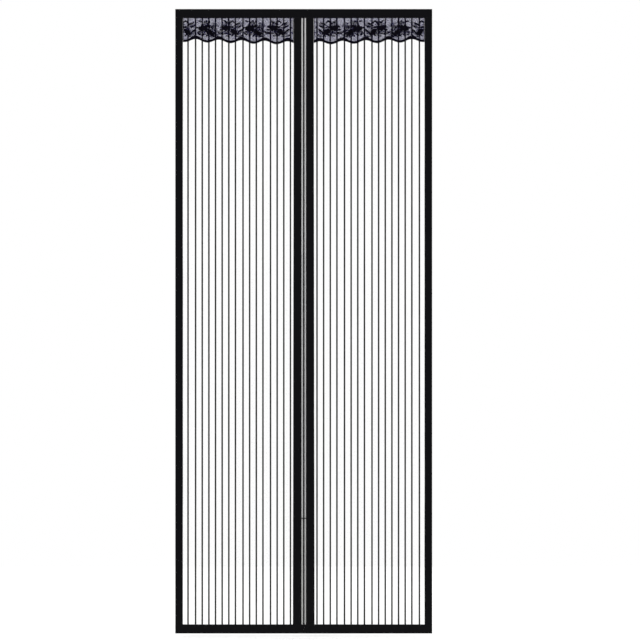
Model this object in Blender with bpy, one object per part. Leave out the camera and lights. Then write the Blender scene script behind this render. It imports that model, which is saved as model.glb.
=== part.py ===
"""A magnetic insect screen for a doorway.

Two sheer net panels with woven stripes hang side by side from one folded top binding. Each panel
has a folded side binding, a folded bottom binding with a flat weight inside, and a lace valance.
Its closing edge is a folded tape, a sheer sleeve that holds three flexible magnet strips end to
end, and a narrow edging. Loop strips on the back hold the screen to the door frame.

Metres. X runs across the doorway, -Y towards the viewer and +Z up. The origin is the middle of
the back face of the top loop strip, which lies against the lintel. The pieces are modelled with
the floor line at height 0 and the net's middle layer at depth 0, and one empty carries them to
the origin. Distances named "out" are measured from the line where the two panels meet.
"""

import math

import bmesh
import bpy

# Whole screen
SCREEN_WIDTH = 0.905
SCREEN_HEIGHT = 2.2
PANEL_GAP = 0.0003
CLEARANCE = 0.0003

# Cloth
TAPE_THICKNESS = 0.0005
NET_THICKNESS = 0.0003
STRIPE_THICKNESS = 0.0006
FOLD_STEPS = 8

# Bindings
SIDE_BINDING_WIDTH = 0.0268
TOP_BINDING_HEIGHT = 0.032
BOTTOM_BINDING_HEIGHT = 0.032
BOTTOM_TUCK = 0.016

# Woven stripes, counted out from the middle. A wide bay follows each stripe named in WIDE_BAYS.
STRIPE_COUNT = 16
STRIPE_WIDTH = 0.0056
FIRST_STRIPE = 0.0468
STRIPE_PITCH = 0.0234
WIDE_PITCH = 0.02665
WIDE_BAYS = (4, 8, 15)

# See-through openings in the net, one column to each bay of regular pitch
OPENING_ROWS = 6
OPENING_BORDER = 0.0005
OPENING_BAR = 0.003

# Closing edge
EDGING_WIDTH = 0.0026
MAGNET_WIDTH = 0.0037
MAGNET_THICKNESS = 0.001
SLEEVE_WALL = 0.00025
SLEEVE_TUCK = 0.004
TAPE_SEAM = 0.001
TAPE_WIDTH_TOP = 0.0269
TAPE_WIDTH_BOTTOM = 0.0299
UPPER_MAGNET_END = 0.865
MIDDLE_MAGNET_END = 1.794

# Lace valance. Drops are measured down from the lower edge of the top binding.
LACE_THICKNESS = 0.0003
VALANCE_DROP = 0.0777
VALANCE_DIP = 0.0112
SCALLOP_PITCH = 0.081
SCALLOP_DEPTH = 0.0115
FIRST_SCALLOP = 0.056
SCALLOP_STEPS = 12
CORD_WIDTH = 0.008
CORD_RELIEF = 0.0003
LEAF_RELIEF = 0.00025
BLOSSOM_RELIEF = 0.00035
BUD_RELIEF = 0.0005
CORD_OVERHANG = 0.0003

# Lace motifs, repeated along the valance. Sizes are across their middles, for the larger blossom.
MOTIF_REPEAT = 0.1646
FIRST_SPRAY = 0.0769
BLOSSOM_WIDTH = 0.036
BLOSSOM_HEIGHT = 0.026
BLOSSOM_PETALS = 5
PETAL_STEPS = 6
PETAL_NOTCH = 0.25
BUD_SHARE = 0.42
BUD_STEPS = 14
LEAF_STEPS = 6

# Fastening and weights
LOOP_STRIP_WIDTH = 0.02
LOOP_STRIP_THICKNESS = 0.0012
LOOP_STRIP_INSET = 0.002
SIDE_LOOP_WIDTH = 0.018
WEIGHT_LENGTH = 0.2
WEIGHT_HEIGHT = 0.012
WEIGHT_THICKNESS = 0.002
WEIGHT_START = 0.03
WEIGHT_CORNER = 0.004

# Worked out from the sizes above
HALF_WIDTH = SCREEN_WIDTH / 2
CLOSING_EDGE = PANEL_GAP / 2
EDGE_SLOT = STRIPE_THICKNESS + 2 * CLEARANCE
EDGE_THICKNESS = EDGE_SLOT + 2 * TAPE_THICKNESS
SLEEVE_THICKNESS = MAGNET_THICKNESS + 2 * (CLEARANCE + SLEEVE_WALL)
HEM_SLOT = max(EDGE_THICKNESS, SLEEVE_THICKNESS, WEIGHT_THICKNESS) + 2 * CLEARANCE
HEM_THICKNESS = HEM_SLOT + 2 * TAPE_THICKNESS

WINDOW_START = CLOSING_EDGE + EDGING_WIDTH
SLEEVE_START = WINDOW_START + CLEARANCE
SLEEVE_END = SLEEVE_START + MAGNET_WIDTH + 2 * (CLEARANCE + SLEEVE_WALL)
TAPE_START = SLEEVE_END + CLEARANCE
TUCK_END = TAPE_START + SLEEVE_TUCK
NET_SLOT_START = TUCK_END + TAPE_SEAM
NET_INNER = NET_SLOT_START + CLEARANCE
NET_OUTER = HALF_WIDTH - TAPE_THICKNESS - CLEARANCE

PANEL_LOW = BOTTOM_BINDING_HEIGHT - BOTTOM_TUCK
PANEL_HIGH = SCREEN_HEIGHT - HEM_THICKNESS / 2
VALANCE_TOP = SCREEN_HEIGHT - TOP_BINDING_HEIGHT
LACE_BACK = -(STRIPE_THICKNESS / 2 + CLEARANCE)
LACE_FRONT = LACE_BACK - LACE_THICKNESS

SIDES = {"left": -1, "right": 1}


def clear_scene():
    for old in list(bpy.data.objects):
        bpy.data.objects.remove(old, do_unlink=True)


def new_collection(name):
    group = bpy.data.collections.new(name)
    bpy.context.scene.collection.children.link(group)
    return group


def paint(name, color, roughness, metallic=0.0, alpha=1.0):
    """A Principled material. The colour is linear red, green and blue."""
    made = bpy.data.materials.new(name)
    made.use_nodes = True
    shader = made.node_tree.nodes["Principled BSDF"]
    shader.inputs["Base Color"].default_value = (*color, 1.0)
    shader.inputs["Roughness"].default_value = roughness
    shader.inputs["Metallic"].default_value = metallic
    shader.inputs["Alpha"].default_value = alpha
    made.diffuse_color = (*color, alpha)
    return made


class Workshop:
    """The collections that pieces go to, and the empty that carries them."""

    def __init__(self):
        self.pieces = new_collection("magnetic_insect_screen")
        self.guides = new_collection("relief_guides")
        self.carrier = bpy.data.objects.new("screen_carrier", None)
        depth = HEM_THICKNESS / 2 + CLEARANCE + LOOP_STRIP_THICKNESS
        self.carrier.location = (0, -depth, TOP_BINDING_HEIGHT / 2 - SCREEN_HEIGHT)
        self.pieces.objects.link(self.carrier)


# How a section is turned: its two axes and the axis that it runs along
TURNS = {
    "Z": (0, 0, 0),
    "X": (0, -math.pi / 2, 0),
    "Y": (math.pi / 2, 0, 0),
}


def extruded(shop, name, loops, start, end, along, material, guide=False):
    """A solid from flat outlines, run from start to end along one axis.

    Along Z a section point is (across, depth), along X it is (height, depth), and along Y it is
    (across, height).
    """
    curve = bpy.data.curves.new(name, "CURVE")
    curve.dimensions = "2D"
    curve.fill_mode = "BOTH"
    curve.extrude = abs(end - start) / 2
    for loop in loops:
        spline = curve.splines.new("POLY")
        spline.points.add(len(loop) - 1)
        for point, (first, second) in zip(spline.points, loop):
            point.co = (first, second, 0, 1)
        spline.use_cyclic_u = True
    drawn = bpy.data.objects.new(name + "_outline", curve)
    shop.guides.objects.link(drawn)
    drawn.rotation_euler = TURNS[along]
    drawn.location["XYZ".index(along)] = (start + end) / 2
    bpy.context.view_layer.update()
    return as_mesh(shop, name, drawn, material, guide)


def as_mesh(shop, name, drawn, material, guide):
    """A mesh object in place of a curve object, with the caps welded to the sides."""
    evaluated = drawn.evaluated_get(bpy.context.evaluated_depsgraph_get())
    mesh = bpy.data.meshes.new_from_object(evaluated)
    mesh.name = name
    shape = bmesh.new()
    shape.from_mesh(mesh)
    bmesh.ops.remove_doubles(shape, verts=shape.verts, dist=0.00001)
    bmesh.ops.recalc_face_normals(shape, faces=shape.faces)
    shape.to_mesh(mesh)
    shape.free()
    piece = bpy.data.objects.new(name, mesh)
    piece.matrix_world = drawn.matrix_world
    bpy.data.objects.remove(drawn, do_unlink=True)
    mesh.materials.clear()
    mesh.materials.append(material)
    (shop.guides if guide else shop.pieces).objects.link(piece)
    piece.parent = shop.carrier
    if guide:
        piece.hide_render = True
        piece.display_type = "WIRE"
    return piece


def block(shop, name, low, high, material):
    """A box between two corners."""
    size = [b - a for a, b in zip(low, high)]
    mesh = bpy.data.meshes.new(name)
    shape = bmesh.new()
    bmesh.ops.create_cube(shape, size=1)
    bmesh.ops.scale(shape, vec=size, verts=shape.verts)
    shape.to_mesh(mesh)
    shape.free()
    mesh.materials.append(material)
    piece = bpy.data.objects.new(name, mesh)
    piece.location = [(a + b) / 2 for a, b in zip(low, high)]
    piece.parent = shop.carrier
    shop.pieces.objects.link(piece)
    return piece


def mirrored(side, loop):
    """A loop drawn outwards from the middle, laid on one side of it."""
    return [(side * out, other) for out, other in loop]


def folded_section(fold, mouth, slot):
    """Outline of a tape folded along its length, with a round fold and two free edges.

    The first coordinate runs from the fold's outer face to the free edges, and the second runs
    through the thickness.
    """
    side = math.copysign(1, mouth - fold)
    inner = slot / 2
    outer = inner + TAPE_THICKNESS
    middle = fold + side * outer
    turns = [math.pi * step / FOLD_STEPS for step in range(FOLD_STEPS + 1)]
    outside = [(middle - side * outer * math.sin(t), outer * math.cos(t)) for t in turns]
    inside = [(middle - side * inner * math.sin(t), -inner * math.cos(t)) for t in turns]
    return [(mouth, outer), *outside, (mouth, -outer), (mouth, -inner), *inside, (mouth, inner)]


def stripe_centres():
    """Distances of the woven stripes from the middle."""
    centres = [FIRST_STRIPE]
    for number in range(1, STRIPE_COUNT):
        step = WIDE_PITCH if number in WIDE_BAYS else STRIPE_PITCH
        centres.append(centres[-1] + step)
    return centres


def net_section():
    """Outline of the net: a thin wall with a low ridge on both faces at each woven stripe."""
    thin = NET_THICKNESS / 2
    thick = STRIPE_THICKNESS / 2
    front = [(NET_INNER, -thin)]
    for centre in stripe_centres():
        near = centre - STRIPE_WIDTH / 2
        far = centre + STRIPE_WIDTH / 2
        front += [(near, -thin), (near, -thick), (far, -thick), (far, -thin)]
    front.append((NET_OUTER, -thin))
    back = [(out, -depth) for out, depth in reversed(front)]
    return front + back


def net_openings():
    """Outlines of the openings: a plain grid of upright rectangles between the stripes.

    The wide bays and the two at the panel's edges keep their net.
    """
    centres = stripe_centres()
    inset = STRIPE_WIDTH / 2 + OPENING_BORDER
    low = BOTTOM_BINDING_HEIGHT + OPENING_BAR
    rise = (VALANCE_TOP - low) / OPENING_ROWS
    outlines = []
    for number in range(1, STRIPE_COUNT):
        if number in WIDE_BAYS:
            continue
        near = centres[number - 1] + inset
        far = centres[number] - inset
        for row in range(OPENING_ROWS):
            bottom = low + rise * row
            top = bottom + rise - OPENING_BAR
            outlines.append([(near, bottom), (far, bottom), (far, top), (near, top)])
    return outlines


def sleeve_section():
    """Outline of the magnet sleeve: a flat tube with a lip on each side that is caught in a tape."""
    lip = SLEEVE_WALL
    half = SLEEVE_THICKNESS / 2
    lip_start = CLOSING_EDGE + TAPE_THICKNESS + CLEARANCE
    lip_end = TUCK_END - CLEARANCE
    top = [(lip_start, lip), (SLEEVE_START, lip), (SLEEVE_START, half)]
    top += [(SLEEVE_END, half), (SLEEVE_END, lip), (lip_end, lip)]
    bottom = [(out, -depth) for out, depth in reversed(top)]
    near = SLEEVE_START + SLEEVE_WALL
    far = SLEEVE_END - SLEEVE_WALL
    hollow = half - SLEEVE_WALL
    bore = [(near, -hollow), (far, -hollow), (far, hollow), (near, hollow)]
    return [top + bottom, bore]


def closing_tape_section():
    """Outline of the closing tape: two layers sewn together along one seam.

    The slot towards the middle takes the sleeve's lip, and the slot outwards takes the net.
    """
    outer = EDGE_THICKNESS / 2
    slot = EDGE_SLOT / 2
    free = TAPE_START + TAPE_WIDTH_TOP
    top = [(TAPE_START, slot), (TAPE_START, outer), (free, outer), (free, slot)]
    net_slot = [(NET_SLOT_START, slot), (NET_SLOT_START, -slot)]
    bottom = [(out, -depth) for out, depth in reversed(top)]
    lip_slot = [(TUCK_END, -slot), (TUCK_END, slot)]
    return top + net_slot + bottom + lip_slot


def tape_edge(height):
    """How far out the closing tape's free edge lies at a height."""
    share = (PANEL_HIGH - height) / (PANEL_HIGH - PANEL_LOW)
    return TAPE_START + TAPE_WIDTH_TOP + share * (TAPE_WIDTH_BOTTOM - TAPE_WIDTH_TOP)


def make_closing_tape(shop, name, side, material):
    """The closing tape, whose free edges run outwards from top to bottom."""
    section = mirrored(side, closing_tape_section())
    tape = extruded(shop, name, [section], PANEL_LOW, PANEL_HIGH, "Z", material)
    for corner in tape.data.vertices:
        height = tape.matrix_world.translation.z + corner.co.z
        if abs(corner.co.x) > NET_SLOT_START + CLEARANCE and height < SCREEN_HEIGHT / 2:
            corner.co.x = side * tape_edge(PANEL_LOW)
    return tape


def colour_proud_faces(piece, depths, material):
    """Gives a second material to the faces that stand further from depth 0 than the base does."""
    piece.data.materials.append(material)
    nearest, furthest = depths
    place = piece.matrix_basis
    for face in piece.data.polygons:
        depth = (place @ face.center).y
        if not nearest <= depth <= furthest:
            face.material_index = 1


def make_net(shop, name, side, net, stripe):
    """One net wall with its woven stripes, cut through by its openings."""
    section = mirrored(side, net_section())
    panel = extruded(shop, name, [section], PANEL_LOW, PANEL_HIGH, "Z", net)
    base = NET_THICKNESS / 2 + CLEARANCE / 10
    colour_proud_faces(panel, (-base, base), stripe)
    loops = [mirrored(side, loop) for loop in net_openings()]
    depths = (-STRIPE_THICKNESS, STRIPE_THICKNESS)
    cutter = extruded(shop, f"{name}_openings", loops, *depths, "Y", net, guide=True)
    cut = panel.modifiers.new("openings", "BOOLEAN")
    cut.operation = "DIFFERENCE"
    cut.solver = "MANIFOLD"
    cut.object = cutter


def make_magnets(shop, side_name, side, material):
    """Three lengths of flexible magnet strip, end to end inside the sleeve."""
    near = SLEEVE_START + SLEEVE_WALL + CLEARANCE
    half = MAGNET_THICKNESS / 2
    upper_end = SCREEN_HEIGHT - UPPER_MAGNET_END
    middle_end = SCREEN_HEIGHT - MIDDLE_MAGNET_END
    lengths = {
        "upper": (upper_end + CLEARANCE / 2, PANEL_HIGH),
        "middle": (middle_end + CLEARANCE / 2, upper_end - CLEARANCE / 2),
        "lower": (PANEL_LOW, middle_end - CLEARANCE / 2),
    }
    for place, (low, high) in lengths.items():
        edges = sorted((side * near, side * (near + MAGNET_WIDTH)))
        name = f"{side_name}_magnet_{place}"
        block(shop, name, (edges[0], -half, low), (edges[1], half, high), material)


def lower_edge(out):
    """Height of the lace's scalloped edge at a distance from the middle."""
    dip = VALANCE_DIP * (1 - out / HALF_WIDTH)
    wave = math.cos(2 * math.pi * (out - FIRST_SCALLOP) / SCALLOP_PITCH)
    return VALANCE_TOP - VALANCE_DROP - dip + SCALLOP_DEPTH / 2 * wave


def valance_ends():
    """The lace lies between the closing tape's free edge and the side binding."""
    lowest = VALANCE_TOP - VALANCE_DROP - VALANCE_DIP - SCALLOP_DEPTH
    inner = tape_edge(lowest) + CLEARANCE
    outer = HALF_WIDTH - SIDE_BINDING_WIDTH - CLEARANCE
    return inner, outer


def edge_points(inner, outer, rise):
    """Points along the scalloped edge, moved up by rise, at the same places for any ends."""
    step = SCALLOP_PITCH / SCALLOP_STEPS
    first = math.floor(inner / step) + 1
    last = math.ceil(outer / step) - 1
    outs = [inner, *(step * number for number in range(first, last + 1)), outer]
    return [(out, lower_edge(out) + rise) for out in outs]


def blossom_outline(out, height, scale):
    """A flower: an ellipse whose radius swells once for each petal."""
    count = BLOSSOM_PETALS * PETAL_STEPS
    outline = []
    for step in range(count):
        angle = 2 * math.pi * step / count
        radius = 1 - PETAL_NOTCH * (1 - math.cos(BLOSSOM_PETALS * angle)) / 2
        across = scale * BLOSSOM_WIDTH / 2 * radius * math.cos(angle)
        up = scale * BLOSSOM_HEIGHT / 2 * radius * math.sin(angle)
        outline.append((out + across, height + up))
    return outline


def bud_outline(out, height, scale):
    """The flower's heart: a small ellipse."""
    turns = [2 * math.pi * step / BUD_STEPS for step in range(BUD_STEPS)]
    wide = scale * BUD_SHARE * BLOSSOM_WIDTH / 2
    tall = scale * BUD_SHARE * BLOSSOM_HEIGHT / 2
    return [(out + wide * math.cos(t), height + tall * math.sin(t)) for t in turns]


def leaf_outline(out, height, length, width, degrees):
    """A leaf: two bowed edges that meet in a point at both ends, turned by an angle."""
    along = [step / LEAF_STEPS for step in range(LEAF_STEPS + 1)]
    upper = [(length * (t - 0.5), width / 2 * math.sin(math.pi * t)) for t in along]
    upper[-1] = (length / 2, 0.0)
    lower = [(x, -y) for x, y in reversed(upper[1:-1])]
    turn = math.radians(degrees)
    cos, sin = math.cos(turn), math.sin(turn)
    return [(out + x * cos - y * sin, height + x * sin + y * cos) for x, y in upper + lower]


# One repeat of the lace, outwards from the spray and down from the top binding
BLOSSOMS = (
    # out, drop, scale
    (-0.0520, 0.0360, 1.0),
    (0.0300, 0.0355, 0.84),
)
LEAVES = (
    # out, drop, length, width, degrees
    (0.0035, 0.0490, 0.034, 0.017, 40),
    (-0.0190, 0.0440, 0.022, 0.006, -38),
    (-0.0070, 0.0210, 0.032, 0.0055, -27),
    (-0.0370, 0.0485, 0.014, 0.005, -15),
    (-0.0910, 0.0365, 0.026, 0.011, 63),
    (-0.0785, 0.0500, 0.032, 0.015, 50),
    (-0.0520, 0.0590, 0.014, 0.005, -20),
    (0.0125, 0.0120, 0.014, 0.0055, -42),
    (0.0355, 0.0115, 0.013, 0.0055, 35),
    (0.0460, 0.0300, 0.018, 0.007, -20),
    (-0.0415, 0.0110, 0.014, 0.005, 18),
    (-0.0590, 0.0120, 0.014, 0.0055, -32),
    (-0.0740, 0.0125, 0.012, 0.005, 55),
)


def motif_places():
    """Where each repeat starts, from before the middle to past the side."""
    first = -1
    last = math.ceil(HALF_WIDTH / MOTIF_REPEAT)
    return [FIRST_SPRAY + MOTIF_REPEAT * number for number in range(first, last + 1)]


def inside_lace(outline):
    """True if a motif keeps clear of the lace's sides, the binding and the corded edge."""
    inner, outer = valance_ends()
    return all(
        inner + CORD_OVERHANG < out < outer - CORD_OVERHANG
        and lower_edge(out) + CORD_WIDTH < height < VALANCE_TOP - CLEARANCE
        for out, height in outline
    )


def relief_layers():
    """The raised parts of the lace, as name, outlines and height over the ground."""
    inner, outer = valance_ends()
    near, far = inner + CORD_OVERHANG, outer - CORD_OVERHANG
    cord = edge_points(near, far, -CORD_OVERHANG)
    cord += reversed(edge_points(near, far, CORD_WIDTH))
    blossoms, buds, leaves = [], [], []
    for start in motif_places():
        for out, drop, scale in BLOSSOMS:
            outline = blossom_outline(start + out, VALANCE_TOP - drop, scale)
            if inside_lace(outline):
                blossoms.append(outline)
                buds.append(bud_outline(start + out, VALANCE_TOP - drop, scale))
        for out, drop, length, width, degrees in LEAVES:
            outline = leaf_outline(start + out, VALANCE_TOP - drop, length, width, degrees)
            if inside_lace(outline):
                leaves.append(outline)
    return (
        ("cord", [cord], CORD_RELIEF),
        ("leaves", leaves, LEAF_RELIEF),
        ("blossoms", blossoms, BLOSSOM_RELIEF),
        ("buds", buds, BUD_RELIEF),
    )


def make_valance(shop, name, side, ground, motif):
    """Lace with a scalloped, corded lower edge, and flowers and leaves raised on its front."""
    inner, outer = valance_ends()
    outline = [(inner, PANEL_HIGH), *edge_points(inner, outer, 0), (outer, PANEL_HIGH)]
    lace = extruded(
        shop, name, [mirrored(side, outline)], LACE_FRONT, LACE_BACK, "Y", ground
    )
    root = (LACE_FRONT + LACE_BACK) / 2
    for layer, outlines, relief in relief_layers():
        if not outlines:
            continue
        loops = [mirrored(side, loop) for loop in outlines]
        raised = extruded(
            shop, f"{name}_{layer}", loops, LACE_FRONT - relief, root, "Y", motif, guide=True
        )
        union = lace.modifiers.new(layer, "BOOLEAN")
        union.operation = "UNION"
        union.solver = "MANIFOLD"
        union.object = raised
    return lace


def make_panel(shop, side_name, side, paints):
    """Everything that belongs to one panel."""
    tape = paints["tape"]
    make_net(shop, f"{side_name}_net", side, paints["net"], paints["stripe"])

    section = folded_section(HALF_WIDTH, HALF_WIDTH - SIDE_BINDING_WIDTH, EDGE_SLOT)
    loops = [mirrored(side, section)]
    extruded(shop, f"{side_name}_side_binding", loops, PANEL_LOW, PANEL_HIGH, "Z", tape)

    section = folded_section(0, BOTTOM_BINDING_HEIGHT, HEM_SLOT)
    ends = (side * CLOSING_EDGE, side * HALF_WIDTH)
    extruded(shop, f"{side_name}_bottom_binding", [section], *ends, "X", tape)

    make_closing_tape(shop, f"{side_name}_closing_tape", side, tape)

    section = folded_section(CLOSING_EDGE, WINDOW_START, EDGE_SLOT)
    loops = [mirrored(side, section)]
    extruded(shop, f"{side_name}_edging", loops, PANEL_LOW, PANEL_HIGH, "Z", tape)

    loops = [mirrored(side, loop) for loop in sleeve_section()]
    name = f"{side_name}_magnet_sleeve"
    extruded(shop, name, loops, PANEL_LOW, PANEL_HIGH, "Z", paints["sleeve"])
    make_magnets(shop, side_name, side, paints["magnet"])

    make_valance(shop, f"{side_name}_valance", side, paints["lace"], paints["motif"])
    make_hem_weight(shop, f"{side_name}_hem_weight", side, paints["weight"])
    make_side_loop_strip(shop, f"{side_name}_loop_strip", side, paints["loop"])


def make_hem_weight(shop, name, side, material):
    """A flat bar with rounded corners, lying in the fold of the bottom binding."""
    low = HEM_THICKNESS / 2
    bend = min(WEIGHT_CORNER, WEIGHT_HEIGHT / 2)
    ends = (WEIGHT_START + bend, WEIGHT_START + WEIGHT_LENGTH - bend)
    heights = (low + bend, low + WEIGHT_HEIGHT - bend)
    corners = (
        (ends[1], heights[1], 0),
        (ends[0], heights[1], 90),
        (ends[0], heights[0], 180),
        (ends[1], heights[0], 270),
    )
    outline = []
    for out, height, start in corners:
        for step in range(FOLD_STEPS // 2 + 1):
            angle = math.radians(start + 90 * step / (FOLD_STEPS // 2))
            outline.append((out + bend * math.cos(angle), height + bend * math.sin(angle)))
    half = WEIGHT_THICKNESS / 2
    extruded(shop, name, [mirrored(side, outline)], -half, half, "Y", material)


def make_side_loop_strip(shop, name, side, material):
    """A loop strip on the back of the side binding, between the top and bottom bindings."""
    middle = HALF_WIDTH - SIDE_BINDING_WIDTH / 2
    edges = sorted((side * (middle - SIDE_LOOP_WIDTH / 2), side * (middle + SIDE_LOOP_WIDTH / 2)))
    back = EDGE_THICKNESS / 2 + CLEARANCE
    low = BOTTOM_BINDING_HEIGHT + LOOP_STRIP_INSET
    high = VALANCE_TOP - LOOP_STRIP_INSET
    near = (edges[0], back, low)
    far = (edges[1], back + LOOP_STRIP_THICKNESS, high)
    block(shop, name, near, far, material)


def make_top(shop, paints):
    """The top binding, which joins the two panels, and the loop strip on its back."""
    section = folded_section(SCREEN_HEIGHT, VALANCE_TOP, HEM_SLOT)
    ends = (-HALF_WIDTH, HALF_WIDTH)
    extruded(shop, "top_binding", [section], *ends, "X", paints["tape"])

    middle = SCREEN_HEIGHT - TOP_BINDING_HEIGHT / 2
    half = LOOP_STRIP_WIDTH / 2
    reach = HALF_WIDTH - LOOP_STRIP_INSET
    back = HEM_THICKNESS / 2 + CLEARANCE
    near = (-reach, back, middle - half)
    far = (reach, back + LOOP_STRIP_THICKNESS, middle + half)
    block(shop, "top_loop_strip", near, far, paints["loop"])


def make_paints():
    return {
        "tape": paint("black_binding_tape", (0.007, 0.007, 0.008), 0.85),
        "net": paint("sheer_net", (0.88, 0.88, 0.9), 0.6, alpha=0.3),
        "stripe": paint("woven_stripe", (0.03, 0.03, 0.03), 0.8),
        "sleeve": paint("sheer_sleeve", (0.45, 0.44, 0.44), 0.55, alpha=0.6),
        "magnet": paint("magnet_strip", (0.36, 0.35, 0.35), 0.5),
        "lace": paint("lace_ground", (0.3, 0.29, 0.37), 0.75, alpha=0.7),
        "motif": paint("lace_motifs", (0.008, 0.008, 0.012), 0.8),
        "loop": paint("loop_strip", (0.012, 0.012, 0.013), 0.95),
        "weight": paint("steel_weight", (0.5, 0.5, 0.52), 0.35, metallic=1.0),
    }


def main():
    clear_scene()
    shop = Workshop()
    paints = make_paints()
    make_top(shop, paints)
    for side_name, side in SIDES.items():
        make_panel(shop, side_name, side, paints)


main()
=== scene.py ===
"""Looks of the magnetic insect screen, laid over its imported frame.

The cloth, net, lace and stitches are modelled here and stand for the frame's soft solids. The
magnets and the hem weights stay as they are and get a finish. Metres, X across the doorway, -Y
towards the viewer, +Z up. Distances named "out" are measured from the line where the two panels
meet. A side is -1 for the left panel and 1 for the right one, a face -1 for the front and 1 for
the back.
"""

import bpy
import numpy as np
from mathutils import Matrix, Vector


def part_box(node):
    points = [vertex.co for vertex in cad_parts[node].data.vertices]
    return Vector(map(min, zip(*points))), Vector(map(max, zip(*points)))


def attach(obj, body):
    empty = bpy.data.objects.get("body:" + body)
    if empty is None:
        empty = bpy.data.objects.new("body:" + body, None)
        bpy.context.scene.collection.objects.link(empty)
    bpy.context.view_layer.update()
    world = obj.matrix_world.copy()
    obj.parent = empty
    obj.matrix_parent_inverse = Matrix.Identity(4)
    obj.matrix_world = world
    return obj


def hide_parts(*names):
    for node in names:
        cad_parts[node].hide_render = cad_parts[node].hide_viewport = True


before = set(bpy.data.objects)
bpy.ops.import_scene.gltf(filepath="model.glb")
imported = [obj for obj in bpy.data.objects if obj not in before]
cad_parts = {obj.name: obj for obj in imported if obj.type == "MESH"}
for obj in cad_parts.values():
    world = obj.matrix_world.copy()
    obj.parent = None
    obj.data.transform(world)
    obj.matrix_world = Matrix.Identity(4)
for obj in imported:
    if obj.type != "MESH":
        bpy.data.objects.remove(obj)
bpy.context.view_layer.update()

MM = 0.001

# Places read from the frame
BOX = {name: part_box(name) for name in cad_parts}
HALF_WIDTH = BOX["top_binding"][1].x
SCREEN_TOP = BOX["top_binding"][1].z
LACE_TOP = BOX["top_binding"][0].z
PANEL_TOP = BOX["left_net"][1].z
PANEL_LOW = BOX["left_net"][0].z
HEM_TOP = BOX["left_bottom_binding"][1].z
HEM_LOW = BOX["left_bottom_binding"][0].z
NET_Y = (BOX["left_net"][0].y + BOX["left_net"][1].y) / 2
NET_INNER = BOX["right_net"][0].x
NET_OUTER = BOX["right_net"][1].x
TAPE_START = BOX["right_closing_tape"][0].x
CLOSING_EDGE = BOX["right_edging"][0].x
EDGING_END = BOX["right_edging"][1].x
BINDING_START = BOX["right_side_binding"][0].x
LACE_INNER = BOX["right_valance"][0].x
LACE_OUTER = BOX["right_valance"][1].x

# Cloth sizes
TAPE = 0.5 * MM
MEETING_EDGE = 0.02 * MM
EDGE_SLOT = 1.2 * MM
HEM_SLOT = 2.8 * MM
TAPE_WIDTH_TOP = 26.9 * MM
TAPE_WIDTH_LOW = 29.9 * MM
SLEEVE_VOILE = 0.22 * MM
CLEARANCE = 0.3 * MM
SEAM_INSET = 2.0 * MM
NET_SEAM = 4.5 * MM
GROOVE_REACH = 0.6 * MM
WEAR_REACH = 1.2 * MM
STRIPES = 16
STRIPE_WIDTH = 5.6 * MM
FIRST_STRIPE = 46.8 * MM
STRIPE_PITCH = 23.4 * MM
WIDE_BAY = 26.65 * MM
WIDE_BAY_AFTER = (4, 8, 15)
STRIPE_CENTRES = FIRST_STRIPE + np.cumsum([0] + [
    WIDE_BAY if number in WIDE_BAY_AFTER else STRIPE_PITCH for number in range(1, STRIPES)
])
# Groove and crown of the top binding and the hems, and the distance between their stations
HEM_FORM = (0.35 * MM, 0.1 * MM)
HEM_STEP = 12 * MM

SIDES = {"left": -1, "right": 1}
SEED = 7


# Meshes


class Shape:
    """Points and faces gathered in blocks, and put into one mesh at the end."""

    def __init__(self):
        self.points, self.faces, self.uv, self.marks, self.slots = [], [], [], [], []
        self.count = 0

    def add(self, points, faces, uv, marks, slot=0):
        """Adds a block. points ends in 3 numbers, faces is a list of whole-number arrays.

        marks has two numbers for each point: how near it is to a worn edge, and a tone from 0
        to 1 that differs from thread to thread. A block that is inside out is turned: its
        volume, the sum of each face's first corner times the cross product of the next two,
        comes out below zero.
        """
        flat = np.asarray(points, float).reshape(-1, 3)
        volume = 0.0
        for part in faces:
            for turn in range(1, part.shape[1] - 1):
                a, b, c = flat[part[:, 0]], flat[part[:, turn]], flat[part[:, turn + 1]]
                volume += np.einsum("ij,ij->", a, np.cross(b, c))
        for part in faces:
            self.faces.append((part[:, ::-1] if volume < 0 else part) + self.count)
            self.slots.append(np.full(len(part), slot))
        self.points.append(flat)
        self.uv.append(uv.reshape(-1, 2))
        self.marks.append(marks.reshape(-1, 2))
        self.count += len(flat)

    def finish(self, name, materials, smooth=True):
        """The mesh object. Its UV map is in metres over the cloth."""
        points = np.concatenate(self.points)
        corners = np.concatenate([part.ravel() for part in self.faces])
        sizes = np.concatenate([np.full(len(part), part.shape[1]) for part in self.faces])
        mesh = bpy.data.meshes.new(name)
        mesh.vertices.add(len(points))
        mesh.vertices.foreach_set("co", points.astype(np.float32).ravel())
        mesh.loops.add(len(corners))
        mesh.loops.foreach_set("vertex_index", corners.astype(np.int32))
        mesh.polygons.add(len(sizes))
        starts = np.concatenate([[0], np.cumsum(sizes)[:-1]])
        mesh.polygons.foreach_set("loop_start", starts.astype(np.int32))
        mesh.polygons.foreach_set("use_smooth", np.full(len(sizes), smooth))
        mesh.polygons.foreach_set("material_index", np.concatenate(self.slots).astype(np.int32))
        mesh.update(calc_edges=True)
        layer = mesh.uv_layers.new(name="cloth")
        layer.data.foreach_set("uv", np.concatenate(self.uv)[corners].astype(np.float32).ravel())
        marks = np.concatenate(self.marks)
        for column, title in enumerate(("edge", "tone")):
            attribute = mesh.attributes.new(title, "FLOAT", "POINT")
            attribute.data.foreach_set("value", marks[:, column].astype(np.float32))
        for material in materials:
            mesh.materials.append(material)
        piece = bpy.data.objects.new(name, mesh)
        bpy.context.scene.collection.objects.link(piece)
        return piece


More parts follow.
